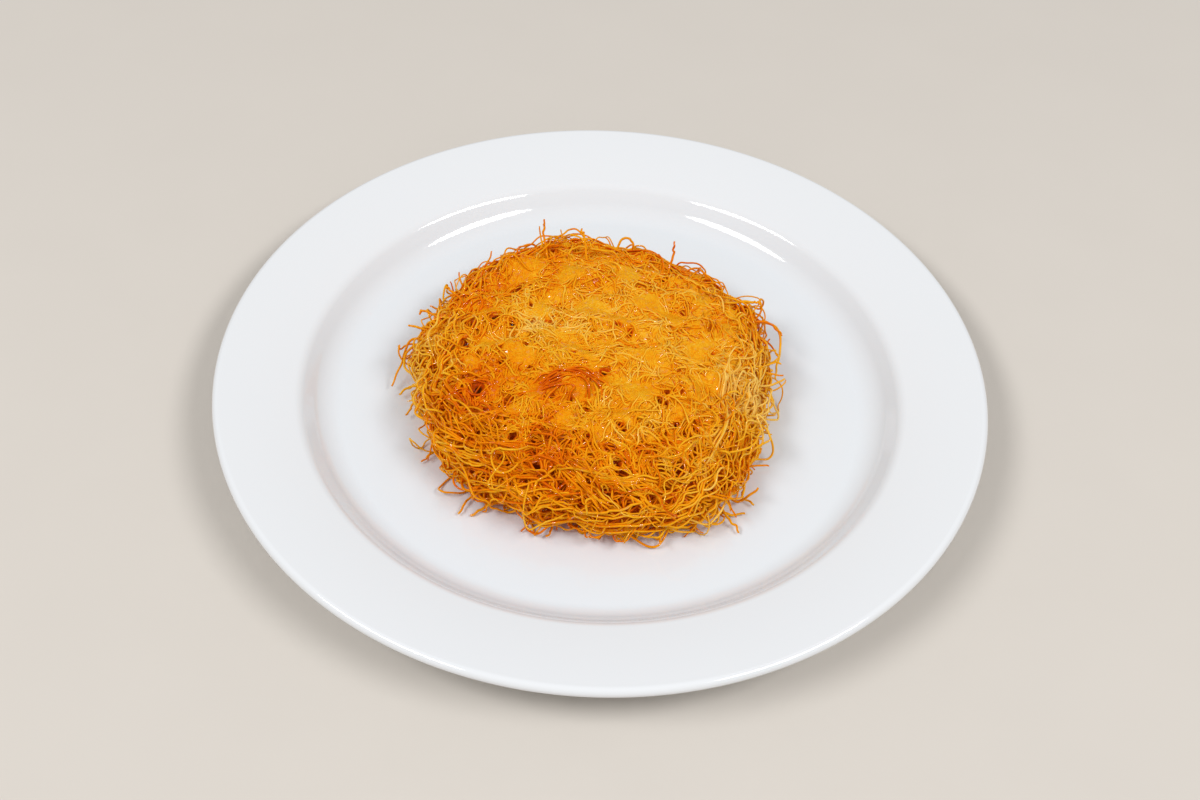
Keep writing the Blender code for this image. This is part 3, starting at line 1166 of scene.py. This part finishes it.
@dataclass(frozen=True)
class Bundles:
    """The bundles that stand out in the photograph: the arched ridge and the sweeps round the front."""

    name: str = "bundles"
    seed: int = 41
    points: int = 34
    radius: float = 0.42 * MM
    wiggle: float = 0.6 * MM
    pit_share: float = 0.7
    bundles: tuple = (
        Bundle(
            ((226, 34), (228, 25), (236, 19), (256, 16.5), (272, 19), (277, 23), (277, 27)),
            9, 3.4, 0.27, -0.2,
        ),
        Bundle(((229, 38), (231, 29), (237, 22), (252, 18), (266, 19)), 7, 4.0, 0.25, -0.3),
        Bundle(((254, 49), (260, 52), (266, 56), (271, 60), (274, 64), (278, 69)), 7, 2.6, 0.08, 0.3),
        Bundle(((258, 49), (269, 52), (277, 54), (287, 55), (296, 55)), 7, 2.0, 0.02, 0.4),
        Bundle(((254, 50), (255, 56), (253, 60), (256, 64)), 4, 2.2, 0.08, 0.2),
        Bundle(((232, 67), (245, 62), (255, 61), (266, 62)), 4, 3.4, 0.06, 0.4),
        Bundle(((234, 72), (250, 66), (262, 63), (272, 62)), 4, 3.6, 0.06, 0.8),
        Bundle(
            ((240, 74), (253, 69), (261, 69), (268, 70), (278, 68), (287, 68), (294, 69)),
            4, 3.6, 0.04, 0.9,
        ),
        Bundle(((186, 66), (204, 55), (219, 50), (236, 43)), 7, 2.2, 0.10, 0.4),
        Bundle(((196, 68), (210, 63), (222, 59), (237, 54), (252, 50)), 8, 2.4, 0.12, 0.4),
        Bundle(((205, 72), (218, 65), (232, 60), (246, 57)), 7, 1.5, 0.12, 0.4),
        Bundle(((316, 60), (304, 62), (297, 65), (288, 68)), 7, 1.4, 0.04, 0.6),
        Bundle(((297, 57), (288, 55), (275, 54), (264, 51)), 6, 1.2, 0.06, 0.3),
        Bundle(((352, 48), (338, 50), (322, 53), (306, 58)), 7, 1.6, -0.06, 0.3),
        Bundle(((170, 44), (182, 50), (192, 57), (204, 62)), 7, 1.5, 0.06, 0.3),
        Bundle(((40, 62), (62, 60), (84, 58), (108, 58)), 7, 2.6, 0.10, 0.0),
        Bundle(((100, 60), (122, 58), (142, 60), (160, 62)), 7, 2.6, 0.10, 0.0),
        Bundle(((5, 62), (18, 60), (32, 60), (46, 60)), 6, 2.2, 0.14, 0.1),
    )

    def build(self, material: bpy.types.Material) -> bpy.types.Object:
        """Makes the bundles as one piece.

        Args:
            material: Their finish.

        Returns:
            The piece.
        """
        rng = np.random.default_rng(self.seed)
        flats, lifts, shades = [], [], []
        along = np.linspace(0, 1, self.points)
        ends = np.clip(1 - 6 * np.minimum(along, 1 - along), 0, 1)
        for bundle in self.bundles:
            degrees, out = np.array(bundle.route, float).T
            marks = polar(out, np.radians(degrees)) * MM
            dense = through(marks, 4 * self.points)
            course = np.gradient(dense, axis=0)
            aside = unit(np.stack([-course[:, 1], course[:, 0]], -1))
            full = np.linspace(0, 1, len(dense))
            for _ in range(bundle.threads):
                start, stop = rng.uniform(0, 0.16), rng.uniform(0.82, 1.0)
                place = start + (stop - start) * along
                base = np.stack([np.interp(place, full, dense[:, i]) for i in range(2)], -1)
                side = np.stack([np.interp(place, full, aside[:, i]) for i in range(2)], -1)
                first, last = rng.normal(0, bundle.width, 2) * MM
                shift = first + (last - first) * along
                for turns in (3.0, 7.0):
                    swing = np.sin(math.pi * turns * along + rng.uniform(0, TURN))
                    shift = shift + self.wiggle * 3.0 / turns * rng.normal() * swing
                flats.append(base + side * shift[:, None])
                wave = 0.5 * MM * np.sin(math.pi * rng.uniform(2, 5) * along + rng.uniform(0, TURN))
                lifts.append(bundle.lift * MM + rng.uniform(-0.9, 0.5) * MM + wave - 1.8 * MM * ends)
                shades.append(bundle.browning_and_shade + rng.normal(0, 0.05) + 0.05 * ends)
        paths = FORM.lifted(keep_out(np.array(flats), self.pit_share), np.array(lifts))
        count = len(paths)
        radius = self.radius * rng.uniform(0.75, 1.15, count)[:, None] * (1 - 0.25 * ends)
        return lay_threads(self.name, material, paths, radius, np.array(shades), 6)


@dataclass(frozen=True)
class EdgeLoops:
    """Loops that stand out of the side and go back in, which make the lacy rim."""

    name: str = "edge_loops"
    seed: int = 23
    count: int = 500
    points: int = 25
    reach: tuple[float, float] = (48.0 * MM, 92.0 * MM)
    span: tuple[float, float] = (8.0 * MM, 24.0 * MM)
    stand: tuple[float, float] = (0.4 * MM, 6.6 * MM)
    # The higher this power, the fewer loops stand far out.
    rarity: float = 1.9
    root: float = 3.0 * MM
    radius: float = 0.32 * MM
    wiggle: float = 1.0 * MM
    # How far in radians a loop turns from level, and how far it leans over for each metre that it stands.
    slant: float = 0.35
    lean: float = 0.5
    # How far in millimetres its height wavers.
    waver: float = 0.6
    back_calm: float = 0.45
    pit_share: float = 0.7

    def build(self, material: bpy.types.Material) -> bpy.types.Object:
        """Makes the loops as one piece.

        Args:
            material: Their finish.

        Returns:
            The piece.
        """
        rng = np.random.default_rng(self.seed)
        angle = rng.uniform(0, TURN, self.count)
        out = rng.uniform(*self.reach, self.count)
        middle = polar(out, angle)
        along = np.linspace(-1, 1, self.points)
        across = angle + math.pi / 2 + rng.normal(0, self.slant, self.count)
        half = rng.uniform(*self.span, self.count) / 2
        heading = polar(1.0, across)
        aside = np.stack([-heading[:, 1], heading[:, 0]], -1)
        flat = middle[:, None] + heading[:, None] * (half[:, None] * along)[..., None]
        for turns in (1.0, 1.8):
            swing = np.sin(math.pi * turns * along + rng.uniform(0, TURN, self.count)[:, None])
            size = rng.normal(0, self.wiggle, self.count)[:, None] * 1.4 / turns
            flat = flat + aside[:, None] * (swing * size)[..., None]
        reach = self.stand[0] + (self.stand[1] - self.stand[0]) * rng.uniform(0, 1, self.count) ** self.rarity
        reach = reach * (1 - self.back_calm * np.clip(np.sin(angle), 0, 1))
        bow = (1 - along**2) ** 0.7
        lift = (self.root + reach)[:, None] * bow - self.root
        lean = rng.normal(0, self.lean, self.count)[:, None] * np.maximum(lift, 0)
        flat = flat + aside[:, None] * lean[..., None]
        for turns in (2.0, 3.5):
            phase = rng.uniform(0, TURN, (self.count, 1))
            lift = lift + self.waver / turns * MM * np.sin(math.pi * turns * along + phase)
        paths = FORM.lifted(keep_out(flat, self.pit_share), lift)
        radius = self.radius * rng.uniform(0.7, 1.2, self.count)[:, None] + 0 * along
        browning_and_shade = 0.02 * bow + rng.normal(-0.02, 0.08, self.count)[:, None]
        return lay_threads(self.name, material, paths, radius, browning_and_shade, 5, FREE_INNER_PAINTED_SHADE)


@dataclass(frozen=True)
class LooseEnds:
    """Short ends that poke out of the nest and curl."""

    name: str = "loose_ends"
    seed: int = 31
    count: int = 470
    points: int = 12
    step: float = 1.05 * MM
    reach: tuple[float, float] = (30.0 * MM, 94.0 * MM)
    radius: float = 0.38 * MM
    # How far below the skin each end starts, and how fast it bends down.
    root: float = 2.5 * MM
    drop: float = 0.03
    # How strongly each end curls, how much it wanders, and how much browner its tip is.
    curl: float = 0.16
    wander: float = 0.10
    tip_browning: float = 0.14

    def build(self, material: bpy.types.Material) -> bpy.types.Object:
        """Makes the ends as one piece.

        Args:
            material: Their finish.

        Returns:
            The piece.
        """
        rng = np.random.default_rng(self.seed)
        angle = rng.uniform(0, TURN, self.count)
        near, far = self.reach
        out = near + (far - near) * rng.uniform(0, 1, self.count) ** 0.55
        flat = polar(out, angle)
        zero = np.zeros(self.count)
        spot = FORM.lifted(flat, zero - self.root)
        normal = unit(FORM.lifted(flat, zero + 1.0 * MM) - FORM.lifted(flat, zero))
        sideways = rng.normal(0, 1, (self.count, 3))
        sideways = unit(sideways - normal * (sideways * normal).sum(-1, keepdims=True))
        heading = normal * rng.uniform(0.3, 1.0, self.count)[:, None] + sideways * 0.8
        curl = rng.normal(0, self.curl, (self.count, 3))
        stretch = rng.uniform(0.4, 1.0, self.count)[:, None]
        path = [spot]
        for _ in range(self.points - 1):
            heading = heading + np.cross(curl, heading) + rng.normal(0, self.wander, (self.count, 3))
            heading[:, 2] -= self.drop
            heading = unit(heading)
            spot = spot + heading * self.step * stretch
            path.append(spot)
        paths = np.stack(path, 1)
        along = np.linspace(0, 1, self.points)
        radius = self.radius * rng.uniform(0.8, 1.15, self.count)[:, None] * (1 - 0.3 * along**3)
        browning_and_shade = self.tip_browning * along**2 + rng.normal(0.0, 0.08, self.count)[:, None]
        return lay_threads(self.name, material, paths, radius, browning_and_shade, 5, FREE_INNER_PAINTED_SHADE)


@dataclass(frozen=True)
class Strays:
    """The longest loose ends and hooks: those that the solid has, and four thin ones more."""

    name: str = "strays"
    seed: int = 5
    points: int = 40
    radius: float = 0.44 * MM
    wiggle: float = 0.22 * MM
    # Each is a few points of degrees, distance out from the nest's centre and height over its floor.
    routes: tuple = (
        ((170, 52, 13), (170, 62, 14), (172, 65, 11), (176, 66, 7), (181, 69, 2)),
        ((183, 52, 9), (180, 62, 8), (175, 65, 9), (171, 62, 12), (169, 53, 14)),
        ((182, 52, 8), (182, 60, 5), (184, 66, 2)),
        ((188, 51, 8), (190, 60, 5), (193, 64, 2)),
        ((234, 50, 5), (232, 60, 2), (233, 68, 1)),
        ((261, 50, 4), (260, 60, 2), (259, 64, 1)),
        ((274, 53, 6), (281, 61, 3), (287, 67, 1), (291, 68, 2), (295, 63, 7), (297, 54, 9)),
        ((311, 54, 6), (311, 68, 3), (311, 75, 1)),
        ((326, 52, 7), (322, 64, 4), (320, 66, 2), (320, 71, 1)),
        ((316, 54, 6), (317, 66, 2), (321, 71, 9)),
        ((342, 50, 10), (342, 61, 9), (337, 66, 4), (333, 61, 3), (331, 52, 5)),
        ((358, 50, 12), (355, 60, 10), (351, 60, 8), (349, 50, 7)),
        ((26, 52, 17), (22, 66, 15), (16, 67, 12), (10, 64, 9), (5, 63, 8)),
        ((24, 51, 18), (21, 63, 18), (16, 67, 16)),
        ((36, 48, 20), (28, 60, 22), (26, 63, 22)),
        ((59, 46, 20), (60, 52, 26), (61, 54, 31)),
        ((95, 44, 21), (96, 51, 28), (97, 53, 30)),
        ((112, 46, 21), (111, 55, 28), (110, 57, 33)),
        ((152, 46, 18), (152, 57, 22), (152, 59, 23)),
        ((161, 50, 15), (161, 62, 18), (162, 64, 17)),
        ((165, 50, 13), (166, 62, 15), (166, 66, 15)),
        ((83, 49.8, 24), (81, 51.6, 28), (78, 52.1, 28), (76, 51.4, 24)),
        ((206, 52, 6), (210, 58, 3), (211, 64.3, 0.6)),
        ((241, 51, 5), (239, 57.5, 2), (236, 66.1, 0.6)),
        ((302, 56, 5), (308, 64.7, 3), (316, 70.9, 0.8)),
    )

    def smooth(self, route: tuple) -> np.ndarray:
        """A smooth curve through a route's points.

        Args:
            route: The points, as angle in degrees, distance and height in millimetres.

        Returns:
            The curve's points, (points, 3).
        """
        degrees, out, height = np.array(route, float).T
        angle = np.radians(degrees)
        marks = np.stack(
            [
                FORM.x + out * MM * np.cos(angle),
                FORM.y + out * MM * np.sin(angle),
                FORM.floor + np.maximum(height * MM, self.radius),
            ],
            -1,
        )
        return through(marks, self.points)

    def build(self, material: bpy.types.Material) -> bpy.types.Object:
        """Makes the strays as one piece.

        Args:
            material: Their finish.

        Returns:
            The piece.
        """
        rng = np.random.default_rng(self.seed)
        paths = np.stack([self.smooth(route) for route in self.routes])
        count = len(paths)
        along = np.linspace(0, 1, self.points)
        for axis in range(3):
            for turns in (5.0, 9.0):
                phase = rng.uniform(0, TURN, count)[:, None]
                paths[..., axis] += self.wiggle * np.sin(math.pi * turns * along + phase) * along
        radius = self.radius * rng.uniform(0.85, 1.1, count)[:, None] * (1 - 0.25 * along**4)
        browning_and_shade = 0.02 + 0.08 * along + np.zeros((count, 1))
        return lay_threads(self.name, material, paths, radius, browning_and_shade, 6, FREE_INNER_PAINTED_SHADE)


def ring_mesh(name: str, points: np.ndarray) -> bpy.types.Object:
    """A closed mesh from rings of points, each end filled with one face.

    Args:
        name: The object's name.
        points: The rings, each counter-clockwise seen from above, the first on top, (rings, points, 3).

    Returns:
        The object.
    """
    rings, count, _ = points.shape
    k = np.arange(count)
    first = (np.arange(rings - 1) * count)[:, None]
    ahead = (k + 1) % count
    quads = np.stack([first + k, first + count + k, first + count + ahead, first + ahead], -1).ravel()
    loops = np.concatenate([quads, k, (rings - 1) * count + k[::-1]])
    starts = np.concatenate([np.arange(quads.size // 4) * 4, [quads.size, quads.size + count]])
    return mesh_object(name, points.reshape(-1, 3), loops, starts)


@dataclass(frozen=True)
class Core:
    """The fused felt under the top threads, which sinks at the sides to an inside painted darker as shade,
    with painted shade in its gaps.
    """

    name: str = "fused_core"
    sectors: int = 370
    rings: int = 184
    felt_reach: float = 47.0 * MM
    felt_sway: float = 9.0 * MM
    felt_angle: float = math.radians(85.0)
    felt_edge: float = 9.0 * MM
    felt_ragged: float = 10.0 * MM
    top_depth: float = 0.58 * MM
    side_depth: float = 3.6 * MM
    patch: float = 6.5 * MM
    patch_depth: float = 1.7 * MM
    lump: float = 1.2 * MM
    relief: float = 0.32 * MM
    pit_depth: float = 2.0 * MM
    pit_shelf: float = 0.4 * MM
    # How much darker the gaps are painted, as painted shade.
    pit_painted_shade: float = 1.2
    # How much less the painted shade of a gap shows at the sides.
    side_fading: float = 0.6
    browning_and_shade: float = 0.05
    # The depth from which the felt is painted darker, as shade inside the nest, the span over which it gets
    # so, and by how much.
    inside_start: float = 1.2 * MM
    inside_span: float = 4.4 * MM
    inside_painted_shade: float = 0.45

    def build(self, material: bpy.types.Material) -> bpy.types.Object:
        """Makes the core.

        Args:
            material: Its finish.

        Returns:
            The piece.
        """
        out = np.linspace(0.003, 0.97, self.rings)[:, None] * FLAT_REACH
        angle = (TURN * np.arange(self.sectors) / self.sectors)[None]
        flat = polar(out, angle)
        surface = FORM.lifted(flat, 0 * out + 0 * angle)
        spots = surface.reshape(-1, 3)
        patches = np.array([noise.noise(Vector(p / self.patch)) for p in spots]).reshape(surface.shape[:2])
        lumps = np.array([noise.fractal(Vector(p / self.lump), 1.0, 2.0, 2) for p in spots])
        reach = self.felt_reach + self.felt_sway * np.cos(angle - self.felt_angle)
        reach = reach + self.felt_ragged * patches
        side = np.clip((out - reach) / self.felt_edge, 0, 1)
        side = side * side * (3 - 2 * side)
        depth = self.top_depth + (self.side_depth - self.top_depth + self.patch_depth * 2.0 * patches) * side
        painted_pit_shade = np.zeros_like(depth)
        for centre, radius, way in zip(PIT_CENTRES, PIT_RADII, PIT_WAYS):
            distance = np.linalg.norm(squeezed(flat - centre, way), axis=-1)
            depth = depth + self.pit_depth * min(1.0, radius / MM) * bell(distance, radius)
            depth = depth + self.pit_shelf * (1 - side) * bell(distance, 2.4 * radius)
            # Painted shade in the gaps.
            painted_pit_shade = np.maximum(painted_pit_shade, self.pit_painted_shade * bell(distance, 0.85 * radius))
        painted_pit_shade = painted_pit_shade * (1 - self.side_fading * side)
        points = FORM.lifted(flat, lumps.reshape(depth.shape) * self.relief - depth)
        points[..., 2] = np.maximum(points[..., 2], FORM.floor + 0.2 * MM)
        obj = ring_mesh(self.name, points)
        # Painted shade: the felt is darker the deeper it lies, and darkest in its gaps.
        inside = np.clip((depth - self.inside_start) / self.inside_span, 0, 1)
        browning_and_shade = self.browning_and_shade + inside * self.inside_painted_shade + painted_pit_shade
        store_browning_and_shade(obj, browning_and_shade)
        attach(obj, material, NEST_NODE)
        return obj


@dataclass(frozen=True)
class Plate:
    """The white rimmed plate, turned from the solid's own profile with finer arcs."""

    name: str = "rimmed_plate"
    radius: float = 130.0 * MM
    thickness: float = 3.8 * MM
    floor_top: float = 5.5 * MM
    floor_radius: float = 88.5 * MM
    cove: float = 12.0 * MM
    wall_slope: float = math.radians(50.0)
    wall_length: float = 4.0 * MM
    shoulder: float = 6.0 * MM
    rim_slope: float = math.radians(11.8)
    foot_outer: float = 82.0 * MM
    foot_inner: float = 77.5 * MM
    foot_chamfer: float = 0.8 * MM
    segments: int = 256

    @staticmethod
    def arc(centre: tuple, radius: float, start: float, end: float, steps: int) -> list[tuple[float, float]]:
        """Points along an arc of the section.

        Args:
            centre: Its centre, as distance from the axis and height.
            radius: Its radius.
            start: Its first angle, in radians.
            end: Its last angle.
            steps: How many steps it has.

        Returns:
            The points.
        """
        angles = [start + (end - start) * i / steps for i in range(steps + 1)]
        return [(centre[0] + radius * math.cos(a), centre[1] + radius * math.sin(a)) for a in angles]

    def profile(self) -> list[tuple[float, float]]:
        """Half of the plate's section.

        Returns:
            Points from near the axis over the top, round the lip and back underneath.
        """
        up = math.pi / 2
        cove = (self.floor_radius, self.floor_top + self.cove)
        cove_end = self.arc(cove, self.cove, -up, self.wall_slope - up, 1)[-1]
        run = (self.wall_length * math.cos(self.wall_slope), self.wall_length * math.sin(self.wall_slope))
        wall_end = (cove_end[0] + run[0], cove_end[1] + run[1])
        shoulder = (
            wall_end[0] + self.shoulder * math.sin(self.wall_slope),
            wall_end[1] - self.shoulder * math.cos(self.wall_slope),
        )
        rim_normal = up + self.rim_slope
        wall_normal = up + self.wall_slope
        rim_start = self.arc(shoulder, self.shoulder, wall_normal, rim_normal, 1)[-1]
        half = self.thickness / 2
        lip_r = self.radius - half
        middle = (rim_start[0] - half * math.cos(rim_normal), rim_start[1] - half * math.sin(rim_normal))
        lip = (lip_r, middle[1] + (lip_r - middle[0]) * math.tan(self.rim_slope))
        floor = [(self.floor_radius * share, self.floor_top) for share in (0.02, 0.25, 0.5, 0.75)]
        top = floor + self.arc(cove, self.cove, -up, self.wall_slope - up, 12)
        top += self.arc(shoulder, self.shoulder, wall_normal, rim_normal, 8)
        top += self.arc(lip, half, rim_normal, rim_normal - math.pi, 14)
        under = self.arc(shoulder, self.shoulder - self.thickness, rim_normal, wall_normal, 4)
        under += self.arc(cove, self.cove + self.thickness, self.wall_slope - up, -up, 12)
        recess = self.floor_top - self.thickness
        under += [
            (self.foot_outer, recess),
            (self.foot_outer, self.foot_chamfer),
            (self.foot_outer - self.foot_chamfer, 0.0),
            (self.foot_inner + self.foot_chamfer, 0.0),
            (self.foot_inner, self.foot_chamfer),
            (self.foot_inner, recess),
            (self.floor_radius * 0.02, recess),
        ]
        return top + under

    def build(self, material: bpy.types.Material) -> bpy.types.Object:
        """Turns the plate.

        Args:
            material: Its finish.

        Returns:
            The piece.
        """
        section = np.array(self.profile())
        angle = TURN * np.arange(self.segments) / self.segments
        across = section[:, :1]
        points = np.stack([across * np.cos(angle), across * np.sin(angle), section[:, 1:] + 0 * angle], -1)
        obj = ring_mesh(self.name, points)
        obj.data.set_sharp_from_angle(angle=math.radians(40.0))
        attach(obj, material, PLATE_NODE)
        return obj


@dataclass(frozen=True)
class Studio:
    """The floor, the lights and the camera."""

    floor_size: float = 6.0
    world: tuple = (1.0, 0.985, 0.965)
    world_strength: float = 0.43
    # Where the two soft boxes are seen from the plate, in degrees, and how far away.
    box_azimuths: tuple = (-29.0, -150.0)
    box_elevation: float = 51.0
    box_distance: float = 2.0
    box_size: tuple = (1.15, 0.5)
    box_power: float = 17.4
    # The camera, worked out from the plate's two ellipses in the photograph.
    elevation: float = math.radians(46.87)
    roll: float = math.radians(2.65)
    distance: float = 552.9 * MM
    aim: tuple = (-0.21 * MM, -15.76 * MM, 20.0 * MM)
    lens: float = 50.0

    def lay_floor(self, material: bpy.types.Material) -> None:
        """Lays the floor.

        Args:
            material: Its finish.
        """
        half = self.floor_size / 2
        corners = np.array([[-half, -half, 0], [half, -half, 0], [half, half, 0], [-half, half, 0]])
        floor = mesh_object("floor", corners, np.arange(4), np.array([0]))
        floor.data.materials.append(material)

    def light(self) -> None:
        """Hangs the two soft boxes and sets the even light from all round."""
        scene = bpy.context.scene
        scene.view_settings.view_transform = "Standard"
        world = bpy.data.worlds.new("soft_light")
        scene.world = world
        world.use_nodes = True
        background = world.node_tree.nodes["Background"]
        background.inputs["Color"].default_value = (*self.world, 1.0)
        background.inputs["Strength"].default_value = self.world_strength
        for index, azimuth in enumerate(self.box_azimuths):
            side = Vector((0.0, 0.0, 1.0))
            side.rotate(Matrix.Rotation(math.radians(90.0 - self.box_elevation), 3, "Y"))
            side.rotate(Matrix.Rotation(math.radians(azimuth), 3, "Z"))
            lamp = bpy.data.lights.new(f"soft_box_{index}", "AREA")
            lamp.shape = "ELLIPSE"
            lamp.size, lamp.size_y = self.box_size
            lamp.energy = self.box_power
            holder = bpy.data.objects.new(lamp.name, lamp)
            holder.location = side * self.box_distance
            holder.rotation_euler = side.to_track_quat("Z", "Y").to_euler()
            scene.collection.objects.link(holder)

    def place_camera(self) -> None:
        """Places the camera at the photograph's own place."""
        back = Vector((0.0, -math.cos(self.elevation), math.sin(self.elevation)))
        right = Vector((1.0, 0.0, 0.0))
        up = back.cross(right)
        turned_right = math.cos(self.roll) * right + math.sin(self.roll) * up
        turned_up = math.cos(self.roll) * up - math.sin(self.roll) * right
        data = bpy.data.cameras.new("camera")
        data.lens = self.lens
        data.sensor_width = 36.0
        data.clip_start = 0.01
        camera = bpy.data.objects.new("camera", data)
        turn = Matrix((turned_right, turned_up, back)).transposed()
        camera.matrix_world = Matrix.Translation(Vector(self.aim) + back * self.distance) @ turn.to_4x4()
        bpy.context.scene.collection.objects.link(camera)
        bpy.context.scene.camera = camera


# The woven layers, from the deepest to the outermost.
LAYERS = (
    WovenThreads(
        name="deep_threads",
        seed=11,
        bunches=120,
        in_bunch=4,
        length=38.0 * MM,
        reach=(34.0 * MM, 92.0 * MM),
        depth=(-5.4 * MM, -2.8 * MM),
        lay=Lay.CROSSED,
        radius=0.48 * MM,
        step=1.9 * MM,
        own_spread=0.3,
        bunch_width=2.5 * MM,
        crimp=0.2,
        browning_and_shade=0.16,
        painted_depth_shade=0.35,
        pit_share=0.8,
        sides=4,
    ),
    WovenThreads(
        name="side_threads",
        seed=13,
        bunches=84,
        in_bunch=6,
        length=52.0 * MM,
        reach=(58.0 * MM, 94.0 * MM),
        depth=(-3.6 * MM, -0.7 * MM),
        lay=Lay.WOUND,
        radius=0.46 * MM,
        step=1.7 * MM,
        heading_spread=0.55,
        bend=0.12,
        crimp=0.24,
        weave=0.6 * MM,
        browning_and_shade=0.04,
        sides=4,
    ),
    WovenThreads(
        name="shoulder_threads",
        seed=19,
        bunches=84,
        in_bunch=6,
        length=40.0 * MM,
        reach=(36.0 * MM, 62.0 * MM),
        depth=(-2.3 * MM, -0.2 * MM),
        lay=Lay.FALLING,
        radius=0.43 * MM,
        heading_spread=0.8,
        bend=0.11,
        crimp=0.28,
        browning_and_shade=0.0,
        sides=4,
    ),
    WovenThreads(
        name="felt_threads",
        seed=17,
        bunches=480,
        in_bunch=3,
        length=13.5 * MM,
        reach=(0.0, 58.0 * MM),
        depth=(-0.90 * MM, -0.50 * MM),
        lay=Lay.CROSSED,
        radius=0.36 * MM,
        step=1.5 * MM,
        own_spread=0.35,
        bend=0.15,
        crimp=0.3,
        weave=0.2 * MM,
        scatter=0.15 * MM,
        sinking=0.6 * MM,
        browning_and_shade=0.10,
        painted_depth_shade=0.15,
        sides=4,
    ),
    WovenThreads(
        name="top_threads",
        seed=29,
        bunches=660,
        in_bunch=3,
        length=11.5 * MM,
        reach=(0.0, 56.0 * MM),
        depth=(-0.60 * MM, -0.20 * MM),
        lay=Lay.CROSSED,
        radius=0.35 * MM,
        step=1.3 * MM,
        bunch_width=1.2 * MM,
        own_spread=0.4,
        bend=0.17,
        crimp=0.4,
        weave=0.2 * MM,
        scatter=0.15 * MM,
        sinking=0.85 * MM,
        browning_and_shade=-0.05,
        painted_depth_shade=0.15,
        sides=4,
    ),
)


def main() -> None:
    """Builds the plate, the nest and the studio."""
    logging.basicConfig(level=logging.INFO, format="%(message)s")
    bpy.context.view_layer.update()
    studio = Studio()
    studio.place_camera()
    studio.lay_floor(FloorFinish().make())
    studio.light()
    Plate().build(GlazeFinish().make())
    threads = FriedFinish(name="fried_threads").make()
    felt = FriedFinish(name="fried_felt", relief=0.9 * MM, thread_spread=0.0, fibre=0.7, paling=0.3)
    Core().build(felt.make())
    for layer in LAYERS:
        layer.build(threads)
    for kind in (Bundles(), EdgeLoops(), LooseEnds(), Strays()):
        kind.build(threads)


if __name__ == "__main__":
    main()
